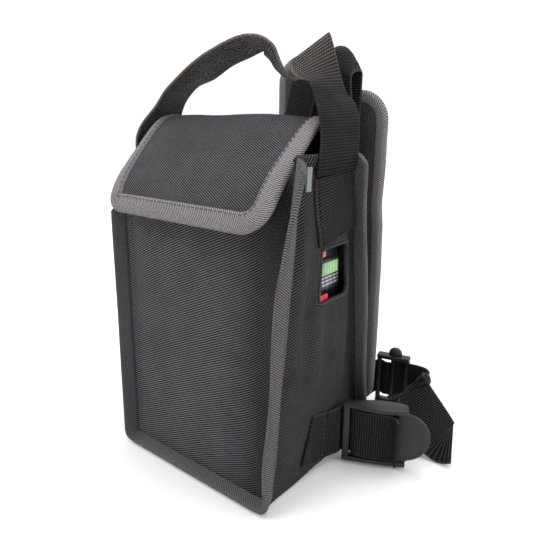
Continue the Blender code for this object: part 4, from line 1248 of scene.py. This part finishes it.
# Webbing in the lock, in the lock's own plane: along and out.
WRAP_ROUTE = ((44, 5.2), (37, 6.6), (30, 6.2), (26, 5.0), (20, 4.3), (12, 2.6), (7.6, 1.4), (6.4, -0.6),
              (8, -2.6), (14, -3.8), (22, -4.4), (30, -4.6), (36, -5.8), (39.4, -8.8), (39.8, -12.8))
ADJUSTER_ROUTE = (
    (79, 123, 31, 0, 0, 1), (86, 125.5, 31, 0, 0, 1), (95, 127, 31, 0, 0, 1), (106, 124, 32, 0, 0.05, 1),
    (115, 113, 35, 0, 0.1, 1), (117, 98, 36, 0, 0.1, 1), (113, 82, 34, 0, 0, 1), (111.5, 68, 30, 0, 0, 1),
    (113, 59, 29, 0, 0, 1), (115.5, 53.4, 29, 0, 0, 1))
TAIL_LEAN = (0.495, 0.631, 0.59)
TAIL_ROUTE = (
    (119.5, 97, 36, 0, 0.1, 1), (119, 90, 42, 0.1, 0.25, 0.95), (117.5, 82.5, 49, 0.3, 0.45, 0.84),
    (115, 76, 53.5, *TAIL_LEAN), (115.5, 72, 54, *TAIL_LEAN), (121.5, 72, 46.8, *TAIL_LEAN),
    (128.7, 73.9, 37, *TAIL_LEAN), (135.8, 75.7, 27.4, *TAIL_LEAN), (142, 77.4, 18.6, *TAIL_LEAN),
    (147, 79.5, 14.5, 0.5, 0.75, 0.42), (153, 82, 13.5, 0.35, 0.88, 0.3))


def lower_webbing(side):
    """Tab, adjuster webbing, its wrap in the ladder lock, its folded tail and the webbing to the slider."""
    name = SIDE_NAMES[side]
    sewn = [(side_face_x(y * MM, TAB_Z * MM) / MM + 1.3, y, TAB_Z + (7 - y) * TAB_SLANT, TAB_LEAN, 0, 1)
            for y in (-17, -12, -6, 0, 7)]
    bar_x, bar_y = PIVOT.x / MM, PIVOT.y / MM
    turned = [(x, y, TAB_Z, 0, 0, 1) for x, y in
              arc(bar_x, bar_y, BAR_REACH, 210, -180) + arc(bar_x, bar_y, BAR_REACH, 5, 0, 1)[:1]]
    tab = strap(f"{name}_tab", mirrored(side, sewn + turned), TAB_WIDTH, "bag", 2.0, 10)
    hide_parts(f"{name}_lower_tab")
    for label, y in (("a", -14.0), ("b", 4.0)):
        x = side_face_x(y * MM, TAB_Z * MM) + 2.45 * MM
        line = [Vector((side * (x + TAB_LEAN * k * MM), y * MM, (TAB_Z + (7 - y) * TAB_SLANT + k) * MM))
                for k in range(-19, 20, 3)]
        stitch_run(f"{name}_tab_stitches_{label}", line, Vector((side, 0, 0)), "bag")
    place = standing(PIVOT, LOCK_TURN, side)
    inside = [(*(place @ Vector((along * MM, LOCK_HEIGHT / 2, out * MM)) / MM), 0, 0, 1)
              for along, out in WRAP_ROUTE]
    wrap = strap(f"{name}_wrap", inside, WRAP_WIDTH, f"{name}_buckle", 2.0, 10)
    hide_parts(f"{name}_adjuster_wrap")
    adjuster = strap(f"{name}_adjuster", mirrored(side, ADJUSTER_ROUTE), ADJUSTER_WIDTH, None, wave=0.8)
    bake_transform(adjuster)
    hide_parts(f"{name}_adjuster_webbing")
    tail = strap(f"{name}_tail", mirrored(side, TAIL_ROUTE), TAIL_WIDTH, f"{name}_buckle", wave=0.8)
    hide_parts(f"{name}_adjuster_tail")
    low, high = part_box(f"{name}_pad_binding")
    pad, back = side * (low[0] + high[0]) / 2 / MM, high[1] / MM + 3
    to_slider = [(side * x, y, z, 0, dy, side) for x, y, z, dy in (
        (pad - 14, back, 31, 0), (pad - 4, back + 1, 31, 0), ((pad + 65) / 2, (back + 117) / 2, 30, 0.1),
        (61, 116.8, 31, 0), (66, 121.5, 31, 0), (70, 119.5, 31, 0), (76, 121.1, 31, 0))]
    foot = strap(f"{name}_foot", to_slider, FOOT_WIDTH, f"{name}_strap")
    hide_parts(f"{name}_foot_webbing")


# ------------------------------------------------------------------ CAD nodes that stay, with better finish
def paint(material, *nodes):
    """Give CAD nodes that stay a finished material."""
    for node in nodes:
        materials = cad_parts[node].data.materials
        materials.clear()
        materials.append(material)


def rounded_copy(node, name, material, bevel):
    """Copy of one of the battery's CAD nodes with moulded edges (millimetres), which stands for it."""
    def mould(bm):
        bmesh.ops.remove_doubles(bm, verts=bm.verts, dist=0.01 * MM)
        bmesh.ops.dissolve_limit(bm, angle_limit=0.02, verts=bm.verts, edges=bm.edges)
        soften(bm, 0.9, bevel * MM, True)

    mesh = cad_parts[node].data.copy()
    mesh.name = name
    mesh.materials.clear()
    rework(mesh, mould)
    obj = link(mesh, name, material, "battery")
    mesh.set_sharp_from_angle(angle=PLASTIC_SHARP)
    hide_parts(node)


SCREEN_THICK = 0.7


def battery():
    """Finish of the battery and its gauge."""
    for node, bevel in (("battery_case", 1.2), ("gauge_housing", 1.2), ("power_socket", 0.6)):
        material = BEZEL if node == "gauge_housing" else CASE
        rounded_copy(node, f"{node}_body", material, bevel)
    paint(CASE, "battery_cap")
    paint(metal("cell_foil", 0.3, 0.9, (160.0, 5.0, 0.6), (0.55, 0.56, 0.58), (0.8, 0.81, 0.83), 0.5 * MM),
          *(f"cell_{index}" for index in range(1, 7)))
    paint(circuit("circuit_board"), "protection_board")
    paint(metal("screw_steel", 0.32, 1.0, (1500.0,), (0.42, 0.42, 0.43), (0.62, 0.62, 0.63)),
          *(f"cap_screw_{index}" for index in range(1, 5)))
    red = lamp_plastic("lamp_red")
    for place in ("upper", "lower"):
        rounded_copy(f"gauge_lamp_{place}", f"lamp_{place}", red, 0.5)
    low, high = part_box("gauge_screen")

    def point_at(u, v):
        return (high[0], low[1] + (high[1] - low[1]) * u, low[2] + (high[2] - low[2]) * v)

    mesh = thicken(grid_mesh("gauge_display", point_at, 12, 12), SCREEN_THICK, -1)
    screen = link(mesh, "gauge_display", display("gauge_screen"), "battery")
    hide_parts("gauge_screen")
    rounded_copy("gauge_lens", "gauge_cover", clear_cover("gauge_lens"), 0.3)


def insides():
    """Board, foam and closure strips."""
    paint(BOARD, "base_board")
    paint(FOAM, "back_foam")
    paint(PILE, "side_loop_patch", "lid_hook_patch")


# ------------------------------------------------------------------ studio
FLOOR_HALF = 40.0
WORLD_STRENGTH = 1.05
# Soft lights: name, place, target, size, power.
LIGHTS = (("key", (-0.5, -0.9, 1.3), (0, 0, 0.12), 0.8, 14), ("top", (0.1, 0.3, 1.5), (0, 0, 0.1), 1.1, 16),
          ("right", (1.3, 0.1, 0.7), (0.05, 0, 0.12), 0.7, 7))


def studio():
    """Plain pale floor and soft light."""
    mesh = bpy.data.meshes.new("floor")
    corners = [(x * FLOOR_HALF, y * FLOOR_HALF, 0) for x, y in ((-1, -1), (1, -1), (1, 1), (-1, 1))]
    mesh.from_pydata(corners, [], [(0, 1, 2, 3)])
    mesh.materials.append(pale_floor("pale_floor"))
    add_object("floor", mesh)
    world = bpy.data.worlds.new("studio")
    world.use_nodes = True
    background = world.node_tree.nodes["Background"]
    background.inputs[0].default_value = (1, 1, 1, 1)
    background.inputs[1].default_value = WORLD_STRENGTH
    bpy.context.scene.world = world
    for name, place, target, size, power in LIGHTS:
        data = bpy.data.lights.new(name, "AREA")
        data.energy = power
        data.size = size
        lamp = add_object(name, data)
        lamp.location = place
        lamp.rotation_euler = (Vector(place) - Vector(target)).to_track_quat("Z", "Y").to_euler()
    bpy.context.scene.view_settings.view_transform = "Standard"


bag_shell()
window_edge()
front_patch()
base_cover()
seam_binding("front_seam_tape", True, "front_binding")
seam_binding("back_seam_tape", False, "back_binding")
top_hem()
lid_panel()
lid_binding()
hinge_fold()
carrying_strap()
for each_side, pinch_height, anchor_x in ((1, 207, 42), (-1, 230, -26)):
    shoulder_strap(each_side, pinch_height)
    strap_webbing(each_side, (anchor_x, 28.5, 214))
    ladder_lock(each_side)
    strap_slider(each_side)
    lower_webbing(each_side)
battery()
insides()
studio()
